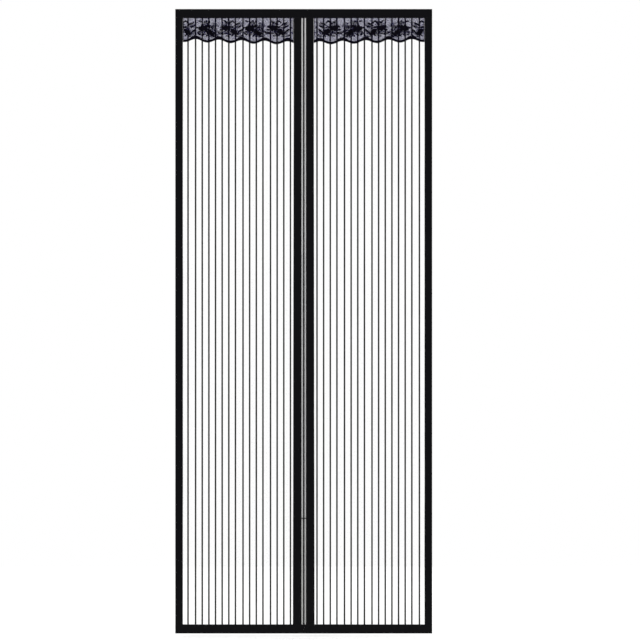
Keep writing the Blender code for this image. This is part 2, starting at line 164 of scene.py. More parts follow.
def grid_faces(rows, columns):
    """Four-cornered faces between the neighbours of a grid of points, numbered row by row."""
    row, column = np.meshgrid(np.arange(rows - 1), np.arange(columns - 1), indexing="ij")
    first = (row * columns + column).ravel()
    return np.stack([first, first + 1, first + columns + 1, first + columns], axis=1)


def add_cloth(shape, middle, thickness, edge=None, tone=0.5, slot=0):
    """A cloth with a thickness: each point of the middle grid, plus and minus half the
    thickness along the surface's own direction, closed by a rim all round.

    middle is a grid of points (rows, columns, 3). The surface's direction is the cross product
    of the grid's two slopes. The UV map is the length along the rows and along the columns.
    edge marks the wear of each column, and tone is one shade for the whole cloth.
    """
    rows, columns = middle.shape[:2]
    down = np.gradient(middle, axis=0)
    over = np.gradient(middle, axis=1)
    normal = np.cross(down, over)
    normal /= np.linalg.norm(normal, axis=2, keepdims=True)
    half = np.broadcast_to(np.asarray(thickness, float), (rows, columns))[..., None] / 2
    points = np.stack([middle + normal * half, middle - normal * half])
    front = grid_faces(rows, columns)
    back = front[:, ::-1] + rows * columns
    number = np.arange(rows * columns).reshape(rows, columns)
    rim = np.concatenate([number[:, 0], number[-1, 1:], number[-2::-1, -1], number[0, -2:0:-1]])
    following = np.roll(rim, -1)
    walls = np.stack([rim, following, following + rows * columns, rim + rows * columns], axis=1)
    along = np.cumsum(np.r_[0, np.linalg.norm(np.diff(middle[:, 0], axis=0), axis=1)])
    across = np.cumsum(np.r_[0, np.linalg.norm(np.diff(middle[0], axis=0), axis=1)])
    uv = np.stack(np.broadcast_arrays(across[None, :], along[:, None]), axis=-1)
    near = np.zeros(columns) if edge is None else edge
    marks = np.stack(np.broadcast_arrays(near[None, :], np.full((rows, 1), tone)), axis=-1)
    shape.add(points, [front, back, walls], np.stack([uv, uv]), np.stack([marks, marks]), slot)


DEPTH = np.array([0.0, 1.0, 0.0])


def add_tubes(shape, paths, half_width, half_depth, sides=4, ring=False, tone=None, slot=0,
              taper=None):
    """Threads and cords: a flat oval carried along each path.

    paths is (threads, points, 3). The oval's first axis is the cross product of the path's
    slope and the depth direction, its second is the depth direction. Corner number k stands at
    the angle (k + 1/2) times a full turn over the number of sides, and the corners of a
    four-sided one stand the root of two further out. An open path gets an end face, a ring
    joins its last point to its first.
    """
    paths = np.asarray(paths, float)
    count, length = paths.shape[:2]
    if ring:
        slope = np.roll(paths, -1, axis=1) - np.roll(paths, 1, axis=1)
    else:
        slope = np.gradient(paths, axis=1)
    across = np.cross(slope, DEPTH)
    across /= np.linalg.norm(across, axis=2, keepdims=True)
    angle = (np.arange(sides) + 0.5) * 2 * np.pi / sides
    swell = np.sqrt(2) if sides == 4 else 1.0
    wide = np.broadcast_to(np.asarray(half_width, float), (count, length)) * swell
    deep = np.broadcast_to(np.asarray(half_depth, float), (count, length)) * swell
    if taper is not None:
        wide, deep = wide * taper, deep * taper
    points = paths[:, :, None, :] + (
        across[:, :, None, :] * (wide[:, :, None] * np.cos(angle))[..., None]
        + DEPTH * (deep[:, :, None] * np.sin(angle))[..., None]
    )
    links = length if ring else length - 1
    thread, step, corner = np.meshgrid(
        np.arange(count), np.arange(links), np.arange(sides), indexing="ij"
    )
    here = thread * length * sides
    a = here + step * sides + corner
    b = here + step * sides + (corner + 1) % sides
    c = here + (step + 1) % length * sides + (corner + 1) % sides
    d = here + (step + 1) % length * sides + corner
    faces = [np.stack([a, b, c, d], axis=-1).reshape(-1, 4)]
    if not ring:
        first = np.arange(count)[:, None] * length * sides
        faces.append(first + np.arange(sides)[::-1])
        faces.append(first + (length - 1) * sides + np.arange(sides))
    run = np.linalg.norm(np.diff(paths, axis=1), axis=2)
    run = np.concatenate([np.zeros((count, 1)), np.cumsum(run, axis=1)], axis=1)
    turn = np.broadcast_to(angle / (2 * np.pi) * 4 * wide.mean(), (count, length, sides))
    uv = np.stack([turn, np.broadcast_to(run[..., None], turn.shape)], axis=-1)
    value = np.full(count, 0.5) if tone is None else tone
    marks = np.stack(
        [np.zeros(turn.shape), np.broadcast_to(value[:, None, None], turn.shape)], axis=-1
    )
    shape.add(points, faces, uv, marks, slot)


def spin(flat, turns):
    """Flat points turned about their middle, by the cosine and the sine of each turn."""
    cos, sin = np.cos(turns), np.sin(turns)
    return np.stack([flat[..., 0] * cos - flat[..., 1] * sin,
                     flat[..., 0] * sin + flat[..., 1] * cos], axis=-1)


def bell(distance, reach):
    """A bell curve: e to the power of minus the square of the distance over its reach."""
    return np.exp(-((distance / reach) ** 2))


# Points round a patch, the heights of its rim and its foot as shares of its rise, and the reach
# of its groove as a share of its half width
PAD_STEPS = 20
PAD_RIM = 0.16
PAD_FOOT = -0.12
PAD_GROOVE = 0.16


def add_pads(shape, outline, spots, turns, sizes, base, rise, groove=0.0, tone=None, rings=5):
    """Raised patches such as petals and leaves: a dome over a flat outline.

    outline(angle) gives the outline's two coordinates from -1 to 1. Each point is the centre
    plus the turned outline times a share from 0 to 1, and stands rise times the root of one
    minus the share squared over the base, less a groove along the middle line. spots is
    (patches, 2) as across and height, turns is in radians, sizes is (patches, 2) half lengths.
    """
    around = np.arange(PAD_STEPS)
    following = np.roll(around, -1)
    rim = outline(around * 2 * np.pi / PAD_STEPS)
    share = np.r_[np.sin(np.linspace(0, np.pi / 2, rings + 1))[1:], 1.0]
    dome = np.sqrt(np.clip(1 - share**2, 0, 1))
    dome[-2:] = PAD_RIM, PAD_FOOT
    local = share[:, None, None] * rim[None]
    lift = dome[:, None] * (1 - groove * bell(local[..., 1], PAD_GROOVE))
    middle = np.array([[0.0, 0.0]])
    local = np.concatenate([middle, local.reshape(-1, 2), middle])
    lift = np.r_[1 - groove, lift.ravel(), PAD_FOOT]
    sized = local[None] * sizes[:, None, :]
    flat = spots[:, None, :] + spin(sized, turns[:, None])
    depth = base - rise[:, None] * lift[None]
    points = np.stack([flat[..., 0], depth, flat[..., 1]], axis=-1)
    each = points.shape[1]
    first = 1 + np.arange(rings)[:, None] * PAD_STEPS
    bands = np.stack([first + around, first + following, first + PAD_STEPS + following,
                      first + PAD_STEPS + around], axis=-1).reshape(-1, 4)
    fan = np.stack([np.zeros_like(around), 1 + following, 1 + around], axis=1)
    last = 1 + rings * PAD_STEPS
    under = np.stack([np.full_like(around, each - 1), last + around, last + following], axis=1)
    start = np.arange(len(spots))[:, None, None] * each
    faces = [(start + part).reshape(-1, part.shape[1]) for part in (bands, fan, under)]
    value = np.full(len(spots), 0.5) if tone is None else tone
    marks = np.stack(np.broadcast_arrays(np.zeros((1, each)), value[:, None]), axis=-1)
    shape.add(points, faces, sized, marks)


def soft_noise(length, step, reach, seed):
    """A slow wander: seeded random values at every step, joined by a cosine ease. The values
    start 3 m below zero and end 1 m above it."""
    picks = np.random.default_rng(seed).uniform(-reach, reach, int(4.0 / step) + 2)
    place = (length + 3.0) / step
    whole = np.floor(place).astype(int)
    share = (1 - np.cos((place - whole) * np.pi)) / 2
    return picks[whole] * (1 - share) + picks[whole + 1] * share


def steps(low, high, step):
    """Evenly spaced stations from low to high, about a step apart."""
    return np.linspace(low, high, int(round((high - low) / step)) + 1)


def settle(piece, slot, *nodes):
    """The piece rides on the screen and stands for its nodes. Its slot is not used."""
    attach(piece, "root")
    if nodes:
        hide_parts(*nodes)
    return piece


# Bindings, tapes and sleeves

FOLD_POINTS = 9
# A leaf narrower than this has no seam of its own
NARROW_LEAF = 6 * MM


def folded_path(fold, mouth, slot, groove=0.2 * MM, crown=0.15 * MM):
    """Middle line of a tape folded over an edge, from the back leaf's free edge round the fold
    to the front leaf's.

    A leaf lies half the slot and half the tape from the middle. It dips by a bell curve along
    its seam and swells by half a sine wave between the seam and the fold, which is a half
    circle. Gives the distances across, the depths from the net's middle layer, the wear and the
    thickness.
    """
    side = np.sign(mouth - fold)
    radius = slot / 2 + TAPE / 2
    middle = fold + side * (radius + TAPE / 2)
    leaf = abs(mouth - middle)
    if leaf < NARROW_LEAF:
        gap = np.linspace(0, leaf, 4)[:-1]
        dip = np.zeros(3)
    else:
        gap = np.r_[0, 0.4, 1.0, 1.5, 2.0, 2.5, 3.1, 4.2, 6.0] * MM
        gap = np.r_[gap, np.linspace(9 * MM, leaf - 1 * MM, 5)]
        bulge = np.sin(np.pi * np.clip((gap - 4 * MM) / (leaf - 4 * MM), 0, 1))
        dip = groove * bell(gap - SEAM_INSET, GROOVE_REACH) - crown * bulge
    turn = np.linspace(0, np.pi, FOLD_POINTS)
    across = np.r_[mouth - side * gap, middle - side * radius * np.sin(turn),
                   (mouth - side * gap)[::-1]]
    depth = np.r_[radius - dip, radius * np.cos(turn), -(radius - dip)[::-1]]
    near = 0.8 * np.exp(-gap / WEAR_REACH)
    wear = np.r_[near, 0.25 + 0.75 * np.sin(turn), near[::-1]]
    bead = 1 + 0.3 * bell(gap, GROOVE_REACH)
    thickness = TAPE * np.r_[bead, np.ones(FOLD_POINTS), bead[::-1]]
    return across, depth, wear, thickness


def make_binding(node, path, axis, stations, material, side=1, seed=0, wander=0.25 * MM):
    """A folded tape run along the Z or X axis, whose free edges wander slowly. It stands for
    its node."""
    across, depth, wear, thickness = path
    reach = np.abs(across - across[len(across) // 2])
    loose = reach / reach.max()
    drift = soft_noise(stations, 0.17, wander, seed)[:, None] * loose
    lift = soft_noise(stations, 0.06, 0.06 * MM, seed + 1)[:, None] * loose
    first = side * (across + drift)
    second = NET_Y + depth + np.sign(depth) * lift
    third = np.broadcast_to(stations[:, None], first.shape)
    order = [first, second, third] if axis == "Z" else [third, second, first]
    shape = Shape()
    add_cloth(shape, np.stack(order, axis=-1), thickness, wear)
    return settle(shape.finish(f"{node}_cloth", [material]), "binding_tape", node)


def tape_width(height):
    """The closing tape widens evenly from its top to its bottom."""
    share = (PANEL_TOP - height) / (PANEL_TOP - PANEL_LOW)
    return TAPE_WIDTH_TOP + share * (TAPE_WIDTH_LOW - TAPE_WIDTH_TOP)


def add_tape_layer(shape, side, face, stations, seed):
    """One layer of a closing tape: a flat strip that dips along its two seams.

    Distances from the inner edge are kept near that edge, distances from the outer edge near
    the outer one, and the columns between are spread evenly.
    """
    near = np.r_[0, 0.4, 1.0, 2.0, 3.2, 3.9, 4.5, 5.1, 6.0] * MM
    far = np.r_[4.2, 3.1, 2.5, 2.0, 1.5, 1.0, 0.4, 0] * MM
    width = tape_width(stations)[:, None]
    share = np.linspace(0, 1, 5)[1:-1]
    between = near[-1] + (width - far[0] - near[-1]) * share
    across = np.concatenate([np.broadcast_to(near, (len(stations), len(near))), between,
                             width - far], axis=1)
    from_edge = width - across
    dip = 0.25 * MM * bell(across - NET_SEAM, GROOVE_REACH)
    dip += 0.2 * MM * bell(from_edge - SEAM_INSET, GROOVE_REACH)
    inside = np.clip((across - near[-1]) / (width - far[0] - near[-1]), 0, 1)
    crown = 0.12 * MM * np.sin(np.pi * inside)
    level = EDGE_SLOT / 2 + TAPE / 2
    lift = soft_noise(stations, 0.07, 0.05 * MM, seed)[:, None] * inside
    depth = face * (level - dip + crown + lift)
    drift = soft_noise(stations, 0.2, 0.25 * MM, seed + 1)[:, None] * (across / width)
    middle = np.stack([
        side * (TAPE_START + across + drift), NET_Y + depth,
        np.broadcast_to(stations[:, None], across.shape),
    ], axis=-1)
    edge = 0.8 * np.exp(-np.minimum(across[0], from_edge[0]) / WEAR_REACH)
    bead = 1 + 0.3 * edge**2
    add_cloth(shape, middle, TAPE * bead, edge)


def add_sleeve_layer(shape, side, face, stations):
    """One layer of the magnet sleeve: flat lips, and between them a bulge over the magnet.

    The bulge's depth rises from each lip by a quarter of a sine wave.
    """
    start, end = EDGING_END + CLEARANCE, TAPE_START - CLEARANCE
    lips = (CLOSING_EDGE + 0.9 * MM, TAPE_START + 3.6 * MM)
    rise = np.linspace(0, 1, 5)
    across = np.r_[lips[0], start - 0.2 * MM, start + 0.75 * MM * rise,
                   np.linspace(start, end, 6)[2:-2],
                   end - 0.75 * MM * rise[::-1], end + 0.2 * MM, lips[1]]
    low, high = 0.13 * MM, 0.92 * MM
    hump = low + (high - low) * np.sin(rise * np.pi / 2)
    depth = np.r_[low, low, hump, high, high, hump[::-1], low, low]
    press = soft_noise(stations, 0.05, 0.05 * MM, 61)[:, None] * (depth / high)
    middle = np.stack(np.broadcast_arrays(
        side * across[None, :], NET_Y + face * (depth[None, :] + press), stations[:, None]
    ), axis=-1)
    add_cloth(shape, middle, SLEEVE_VOILE)


# Net with woven stripes

NET_PITCH = 1.6 * MM
# The net's sway, and how wide and how high the stretches are over which it fades out
SWAY = 1.6 * MM
FADE_WIDTH = 100 * MM
FADE_HEIGHT = 300 * MM
# Half width and half depth of a thread, and how far it lies off the net's middle
THREAD = (0.14 * MM, 0.1 * MM)
THREAD_SHIFT = 0.04 * MM
# Points along a crosswise thread, an upright thread and a ribbon, and across a ribbon
CROSSWISE_POINTS = 10
UPRIGHT_POINTS = 22
RIBBON_POINTS = 44
RIBBON_COLUMNS = 9


def ease(value):
    """Smooth step from 0 to 1: three times the square less twice the cube."""
    value = np.clip(value, 0, 1)
    return value * value * (3 - 2 * value)


def sway(out, height, side):
    """Two slow waves, faded out by smooth steps at the tape, the binding, the lace and the hem.

    The lengths of the waves are in metres.
    """
    fade = ease((out - 50 * MM) / FADE_WIDTH)
    fade = fade * ease((BINDING_START - 10 * MM - out) / FADE_WIDTH)
    fade = fade * ease((-140 * MM - height) / FADE_HEIGHT)
    fade = fade * ease((height - HEM_TOP - 20 * MM) / FADE_HEIGHT)
    wave = 0.6 * np.sin(2 * np.pi * (out / 0.23 + 0.25 * np.sin(2 * np.pi * height / 1.2)))
    slow = 0.4 * np.sin(2 * np.pi * (height / 0.8 + side * out / 0.6))
    return SWAY * fade * (wave + slow)


def ripple(out, height, side):
    """How far the net lies from its plane: the sway at the crosswise threads' own points, and
    straight between them, so that threads and ribbons stay together."""
    gap = (NET_OUTER - NET_INNER) / (CROSSWISE_POINTS - 1)
    whole = np.clip(np.floor((out - NET_INNER) / gap), 0, CROSSWISE_POINTS - 2)
    share = (out - NET_INNER) / gap - whole
    first = NET_INNER + whole * gap
    return sway(first, height, side) * (1 - share) + sway(first + gap, height, side) * share


def make_net(side_name, side, materials):
    """Sheer net: straight crosswise and upright threads, and woven ribbons for the stripes.

    A ribbon's thickness goes up and down four times over its width, as ribs do.
    """
    shape = Shape()
    draw = np.random.default_rng(SEED + side)
    levels = np.arange(PANEL_LOW + NET_PITCH / 2, PANEL_TOP, NET_PITCH)
    out, height = np.meshgrid(np.linspace(NET_INNER, NET_OUTER, CROSSWISE_POINTS), levels)
    depth = NET_Y + ripple(out, height, side) + THREAD_SHIFT
    add_tubes(shape, np.stack([side * out, depth, height], axis=-1), *THREAD,
              tone=draw.uniform(0, 1, len(levels)))
    columns = np.arange(NET_INNER + NET_PITCH / 2, NET_OUTER, NET_PITCH)
    gap = np.abs(columns[:, None] - STRIPE_CENTRES).min(axis=1)
    columns = columns[gap > STRIPE_WIDTH / 2 + THREAD[0]]
    heights = np.linspace(PANEL_LOW, PANEL_TOP, UPRIGHT_POINTS)
    out, height = np.meshgrid(columns, heights, indexing="ij")
    depth = NET_Y + ripple(out, height, side) - THREAD_SHIFT
    add_tubes(shape, np.stack([side * out, depth, height], axis=-1), *THREAD,
              tone=draw.uniform(0, 1, len(columns)))
    across = np.linspace(-STRIPE_WIDTH / 2, STRIPE_WIDTH / 2, RIBBON_COLUMNS)
    thickness = (0.42 + 0.16 * (np.arange(RIBBON_COLUMNS) % 2)) * MM
    heights = np.linspace(PANEL_LOW, PANEL_TOP, RIBBON_POINTS)
    for number, centre in enumerate(STRIPE_CENTRES):
        width = 1 + soft_noise(heights, 0.11, 0.02, number)[:, None]
        out = centre + across[None, :] * width
        height = np.broadcast_to(heights[:, None], out.shape)
        middle = np.stack([side * out, NET_Y + ripple(out, height, side), height], axis=-1)
        add_cloth(shape, middle, thickness, np.abs(across) / across.max(),
                  draw.uniform(0, 1), slot=1)
    return shape.finish(f"{side_name}_striped_net", materials)


# Lace valance

SCALLOP_PITCH = 81.0 * MM
FIRST_SCALLOP = 56.0 * MM
LACE_FRONT = NET_Y - 0.9 * MM
LACE_BACK = NET_Y - 0.6 * MM
LACE_THREAD = (0.165 * MM, 0.05 * MM)
# More than the lace's drop below the top binding
LACE_REACH = 100 * MM
SCALLOP_RISE = 5.75 * MM
LACE_DROP = 77.7 * MM
LACE_DIP = 11.2 * MM
MOTIF_REPEAT = 164.6 * MM
FIRST_SPRAY = 76.9 * MM
# Where each repeat of the flowers begins, from before the middle to past the side
REPEATS = FIRST_SPRAY + MOTIF_REPEAT * np.arange(-1, 4)
# Half lengths of a blossom, then each blossom's out and drop in millimetres, and its scale
BLOSSOM = np.array([18.0, 13.0]) * MM
BLOSSOMS = np.array([(-52, 36, 1), (30, 35.5, 0.84)])
# Out, drop, length and width in millimetres, turn in degrees, and 1 for a leaf that is open.
# The first thirteen are the frame's, the rest fill the garland between the flowers.
LEAVES = np.array([
    (3.5, 49, 34, 17, 40, 0),
    (-19, 44, 22, 6, -38, 0),
    (-7, 21, 32, 5.5, -27, 0),
    (-37, 48.5, 14, 5, -15, 0),
    (-91, 36.5, 26, 11, 63, 1),
    (-78.5, 50, 32, 15, 50, 0),
    (-52, 59, 14, 5, -20, 0),
    (12.5, 12, 14, 5.5, -42, 0),
    (35.5, 11.5, 13, 5.5, 35, 1),
    (46, 30, 18, 7, -20, 0),
    (-41.5, 11, 14, 5, 18, 0),
    (-59, 12, 14, 5.5, -32, 1),
    (-74, 12.5, 12, 5, 55, 0),
    (-71.5, 29, 17, 8, 40, 0),
    (-68.5, 52, 15, 6.5, 75, 0),
    (-92, 53, 14, 6, 20, 0),
    (-82, 33, 13, 4.5, 70, 0),
    (11.5, 31.5, 15, 6.5, 12, 0),
    (-8.5, 54, 14, 6, -30, 0),
    (15, 57, 14, 5, 5, 1),
    (48.5, 41, 14, 6, 22, 0),
    (54, 51.5, 17, 5.5, 14, 1),
    (-20, 62.5, 19, 5, -24, 1),
    (34, 54, 12, 4.5, -14, 1),
    (-32, 34, 12, 5, 12, 0),
    (22, 19.5, 10, 5, 30, 0),
    (-15, 30, 18, 6, -20, 0),
    (18, 14, 9, 6.5, 40, 1),
    (29.5, 14.5, 10, 7, -48, 0),
    (-90, 64, 12, 5, 10, 0),
    (-65.5, 15, 10, 7, 40, 1),
    (5, 14, 11, 4.5, 66, 0),
    (-66, 61, 13, 5, -40, 1),
    (26, 62, 14, 5, -12, 1),
    (-4, 64, 13, 5, 12, 1),
    (-38, 57, 14, 5.5, 30, 0),
    (9, 60, 14, 5, -35, 0),
    (44, 53, 13, 5.5, 60, 0),
    (-84, 59, 15, 6, -20, 0),
    (24, 50, 13, 5, 68, 0),
    (-64, 45, 12, 5, -52, 0),
])
# Outlined leaves of closer ground behind the garland, as out, drop, length, width and turn
VEILS = np.array([
    (-80, 38, 50, 24, 45),
    (-93, 46, 34, 18, 75),
    (-59, 24, 30, 14, 6),
    (-50, 49, 42, 18, -12),
    (-70, 55, 34, 17, 24),
    (-12, 52, 30, 15, -28),
    (-13, 28.5, 28, 11, -22),
    (5, 43, 46, 25, 42),
    (29, 24, 38, 16, -6),
    (28, 49, 32, 15, 8),
    (53, 51, 24, 13, 22),
    (67, 61, 20, 10, -10),
    (70, 23, 30, 12, 25),
    (-85, 62, 26, 13, -8),
])
# Stems, as out and drop in millimetres at the start, at the bend's handle and at the end
STEMS = np.array([
    ((30, 36), (16, 38), (8, 44)),
    ((-7, 27), (-8, 38), (-19, 44)),
    ((-53, 36), (-45, 44), (-37, 48)),
    ((-53, 36), (-62, 36), (-72, 44)),
    ((-53, 34), (-74, 24), (-88, 30)),
    ((-53, 40), (-55, 50), (-52, 59)),
    ((-4, 20), (4, 12), (12, 11)),
    ((-7, 21), (-24, 20), (-41, 10)),
    ((-53, 28), (-54, 18), (-59, 10)),
    ((-66, 24), (-68, 16), (-74, 11)),
    ((29, 28), (34, 20), (35, 10)),
]) * MM


def scallop_wave(out):
    """The cosine that runs along the scalloped edge: 1 at a crest and -1 at a trough."""
    return np.cos(2 * np.pi * (out - FIRST_SCALLOP) / SCALLOP_PITCH)


def lower_edge(out):
    """Height of the scalloped edge: a slow dip towards the middle plus a cosine wave."""
    dip = LACE_DIP * (1 - out / HALF_WIDTH)
    return LACE_TOP - LACE_DROP - dip + SCALLOP_RISE * scallop_wave(out)


def inside_lace(out, height, margin=8 * MM):
    """True where a point keeps clear of the lace's sides, its corded edge and the binding."""
    return ((out > LACE_INNER + 0.3 * MM) & (out < LACE_OUTER - 0.3 * MM)
            & (height > lower_edge(out) + margin) & (height < LACE_TOP - 0.3 * MM))


def in_ground(out, height):
    """True inside the outline of the lace."""
    return ((out > LACE_INNER) & (out < LACE_OUTER) & (height < PANEL_TOP)
            & (height > lower_edge(out) + 1 * MM))


def repeated(table):
    """A table's rows at every repeat: the spots, the turns, the half sizes, and what follows
    them in a row."""
    first = np.arange(table.shape[1]) == 0
    rows = np.concatenate([table + first * start / MM for start in REPEATS])
    spots = np.stack([rows[:, 0] * MM, LACE_TOP - rows[:, 1] * MM], axis=-1)
    return spots, np.radians(rows[:, 4]), rows[:, 2:4] * MM / 2, rows[:, 5:]


def in_veil(out, height):
    """True inside one of the leaves of closer ground, which follow the flowers' repeat: where
    the place, turned back and scaled to the leaf, lies within its sine wave."""
    place = np.stack([out, height], axis=-1)
    found = np.zeros(out.shape, bool)
    for spot, turn, size in zip(*repeated(VEILS)[:3]):
        local = spin(place - spot, -turn) / size
        reach = np.sin(np.pi * np.clip((1 + local[..., 0]) / 2, 0, 1))
        found |= np.abs(local[..., 1]) < reach
    return found & in_ground(out, height)


def clipped_threads(turn, pitch, depth, inside):
    """A family of parallel threads, cut where they leave a zone.

    Thread number n is the line whose distance from the start corner is n times the pitch. It
    is tried at even steps, and each run of five or more steps inside the zone becomes a thread.
    """
    along = np.array([np.cos(turn), np.sin(turn)])
    aside = np.array([-np.sin(turn), np.cos(turn)])
    corners = np.array([(a, b) for a in (LACE_INNER, LACE_OUTER)
                        for b in (LACE_TOP - LACE_REACH, PANEL_TOP)])
    far = corners @ aside
    run = corners @ along
    offsets = np.arange(far.min(), far.max(), pitch) + pitch / 2
    stations = np.arange(run.min(), run.max(), 0.5 * MM)
    point = offsets[:, None, None] * aside + stations[None, :, None] * along
    found = inside(point[..., 0], point[..., 1])
    padded = np.pad(found.astype(int), ((0, 0), (1, 1)))
    change = np.diff(padded, axis=1)
    thread, start = np.nonzero(change == 1)
    end = np.nonzero(change == -1)[1] - 1
    long = end - start > 3
    thread, start, end = thread[long], start[long], end[long]
    share = np.linspace(0, 1, 3)
    place = stations[start][:, None] * (1 - share) + stations[end][:, None] * share
    flat = offsets[thread][:, None, None] * aside + place[..., None] * along
    return np.stack([flat[..., 0], np.full(place.shape, depth), flat[..., 1]], axis=-1)


def add_threads(shape, families, side, draw, slot=0):
    """Families of lace threads: turn, depth in front of or behind the middle, pitch, zone."""
    for turn, shift, pitch, zone in families:
        middle = (LACE_FRONT + LACE_BACK) / 2 + shift * MM
        paths = clipped_threads(turn, pitch * MM, middle, zone)
        paths[..., 0] *= side
        add_tubes(shape, paths, *LACE_THREAD, tone=draw.uniform(0, 1, len(paths)), slot=slot)


def make_lace_ground(side_name, side, material):
    """Ground of the lace: three families of fine threads, crosswise and at 60 degrees both
    ways, one in front of the other."""
    shape = Shape()
    draw = np.random.default_rng(SEED + 20 + side)
    families = [(turn * np.pi / 3, shift, 0.9, in_ground)
                for turn, shift in ((0, -0.06), (1, 0.0), (-1, 0.06))]
    add_threads(shape, families, side, draw)
    return shape.finish(f"{side_name}_lace_ground", [material])


def leaf_outline(angle):
    """A leaf that is pointed at both ends: its half width is a sine wave over its length."""
    across = np.cos(angle)
    return np.stack([across, np.sign(np.sin(angle)) * np.sin(np.pi * (1 + across) / 2)], axis=-1)


def petal_outline(angle):
    """A petal: an oval that is wider at its outer end, which has a shallow notch."""
    along, over = np.cos(angle), np.sin(angle)
    notch = 0.14 * bell(over, 0.3) * (along > 0)
    return np.stack([along - notch, over * (0.84 + 0.2 * along)], axis=-1)


def round_outline(angle):
    """A circle."""
    return np.stack([np.cos(angle), np.sin(angle)], axis=-1)


def turned(outline, spots, turns, sizes, swell=1.0):
    """The outline of each patch, turned, scaled and moved to its place, for 24 points."""
    flat = outline(np.arange(24) * 2 * np.pi / 24) * swell
    return spots[:, None] + spin(flat[None] * sizes[:, None, :], turns[:, None])


def raised(flat, depth, side):
    """Flat points as out and height, made into points in space at a depth."""
    return np.stack([side * flat[..., 0], np.full(flat.shape[:-1], depth), flat[..., 1]], axis=-1)


def add_flowers(shape, side, draw):
    """Each flower is two rings of five petals on an ellipse, at equal angles, the inner ring
    turned by half a step and lying on the outer one, round a heart with a ring of knots."""
    mirror = np.array([side, 1])
    centres = (REPEATS[:, None, None] * [1, 0] + BLOSSOMS[:, :2] * [MM, -MM]).reshape(-1, 2)
    centres[:, 1] += LACE_TOP
    scale = np.tile(BLOSSOMS[:, 2], len(REPEATS))[:, None]
    turn = np.arange(30) * 2 * np.pi / 30
    lobes = 1 - 0.125 * (1 - np.cos(5 * turn))
    oval = BLOSSOM * np.stack([np.cos(turn), np.sin(turn)], -1) * lobes[:, None]
    rim = centres[:, None] + scale[..., None] * oval
    kept = inside_lace(rim[..., 0], rim[..., 1]).all(axis=1)
    centres, scale = centres[kept], scale[kept]
    each = np.repeat(scale, 5, axis=0)
    # As shares of the flower: place, length and width. In steps: shift. In millimetres: the rest
    rings = ((0.57, 0.44, 0.47, 0.0, 0.0, 0.34), (0.33, 0.32, 0.34, 0.5, 0.12, 0.38))
    for place, long, wide, shift, lift, rise in rings:
        petal = (np.arange(5) + shift) * 2 * np.pi / 5
        spoke = BLOSSOM * np.stack([np.cos(petal), np.sin(petal)], axis=-1)
        spots = (centres[:, None] + place * scale[..., None] * spoke).reshape(-1, 2)
        reach = np.linalg.norm(spoke, axis=1)
        turns = np.tile(np.arctan2(spoke[:, 1], spoke[:, 0]), len(centres))
        sizes = np.tile(np.stack([long * reach, wide * reach], axis=-1), (len(centres), 1)) * each
        flip = turns if side > 0 else np.pi - turns
        tall = draw.uniform(rise, rise + 0.1, len(spots)) * MM
        level = LACE_FRONT - lift * MM
        add_pads(shape, petal_outline, spots * mirror, flip, sizes, level, tall, 0.3,
                 draw.uniform(0, 0.5, len(spots)))
        rims = raised(turned(petal_outline, spots, turns, sizes, 0.97), level - 0.16 * MM, side)
        add_tubes(shape, rims, 0.42 * MM, 0.2 * MM, sides=5, ring=True,
                  tone=np.ones(len(rims)))
    heart = 0.2 * scale * BLOSSOM
    add_pads(shape, round_outline, centres * mirror, np.zeros(len(centres)), heart,
             LACE_FRONT - 0.3 * MM, np.full(len(centres), 0.45 * MM))
    bead = np.arange(7) * 2 * np.pi / 7
    ring = 0.26 * BLOSSOM * np.stack([np.cos(bead), np.sin(bead)], axis=-1)
    dots = (centres[:, None] + scale[..., None] * ring).reshape(-1, 2)
    add_pads(shape, round_outline, dots * mirror, np.zeros(len(dots)),
             np.full((len(dots), 2), 1.1 * MM), LACE_FRONT - 0.3 * MM,
             np.full(len(dots), 0.42 * MM), tone=np.ones(len(dots)), rings=2)


def add_leaves(shape, side, draw):
    """The garland's leaves. A solid one is a dome with a rim, an open one has a broad rim and
    a filling of bars."""
    spots, turns, sizes, rest = repeated(LEAVES)
    outline = turned(leaf_outline, spots, turns, sizes)
    kept = inside_lace(outline[..., 0], outline[..., 1]).all(axis=1)
    spots, turns, sizes = spots[kept], turns[kept], sizes[kept]
    is_open = rest[kept, 0] > 0
    solid = ~is_open
    flip = turns if side > 0 else np.pi - turns
    add_pads(shape, leaf_outline, spots[solid] * [side, 1], flip[solid], sizes[solid],
             LACE_FRONT, draw.uniform(0.26, 0.36, solid.sum()) * MM, 0.45,
             draw.uniform(0, 0.5, solid.sum()))
    rims = raised(outline[kept], LACE_FRONT - 0.12 * MM, side)
    add_tubes(shape, rims, np.where(is_open, 1.05, 0.5)[:, None] * MM, 0.18 * MM, sides=5,
              ring=True, tone=np.ones(len(rims)))
    add_fishbones(shape, spots[is_open], turns[is_open], sizes[is_open], side)


def add_stems(shape, side):
    """A stem is a curve through its start and end that bends towards its handle: the sum of
    the three points weighted by the squares of the two shares and twice their product."""
    share = np.linspace(0, 1, 9)[:, None]
    stem = (STEMS[:, 0, None] * (1 - share) ** 2 + STEMS[:, 1, None] * 2 * share * (1 - share)
            + STEMS[:, 2, None] * share**2)
    stems = (REPEATS[:, None, None, None] * [1, 0] + stem * [1, -1]).reshape(-1, 9, 2)
    stems[..., 1] += LACE_TOP
    stems = stems[inside_lace(stems[..., 0], stems[..., 1]).all(axis=1)]
    add_tubes(shape, raised(stems, LACE_FRONT - 0.08 * MM, side), 0.8 * MM, 0.16 * MM, sides=5)


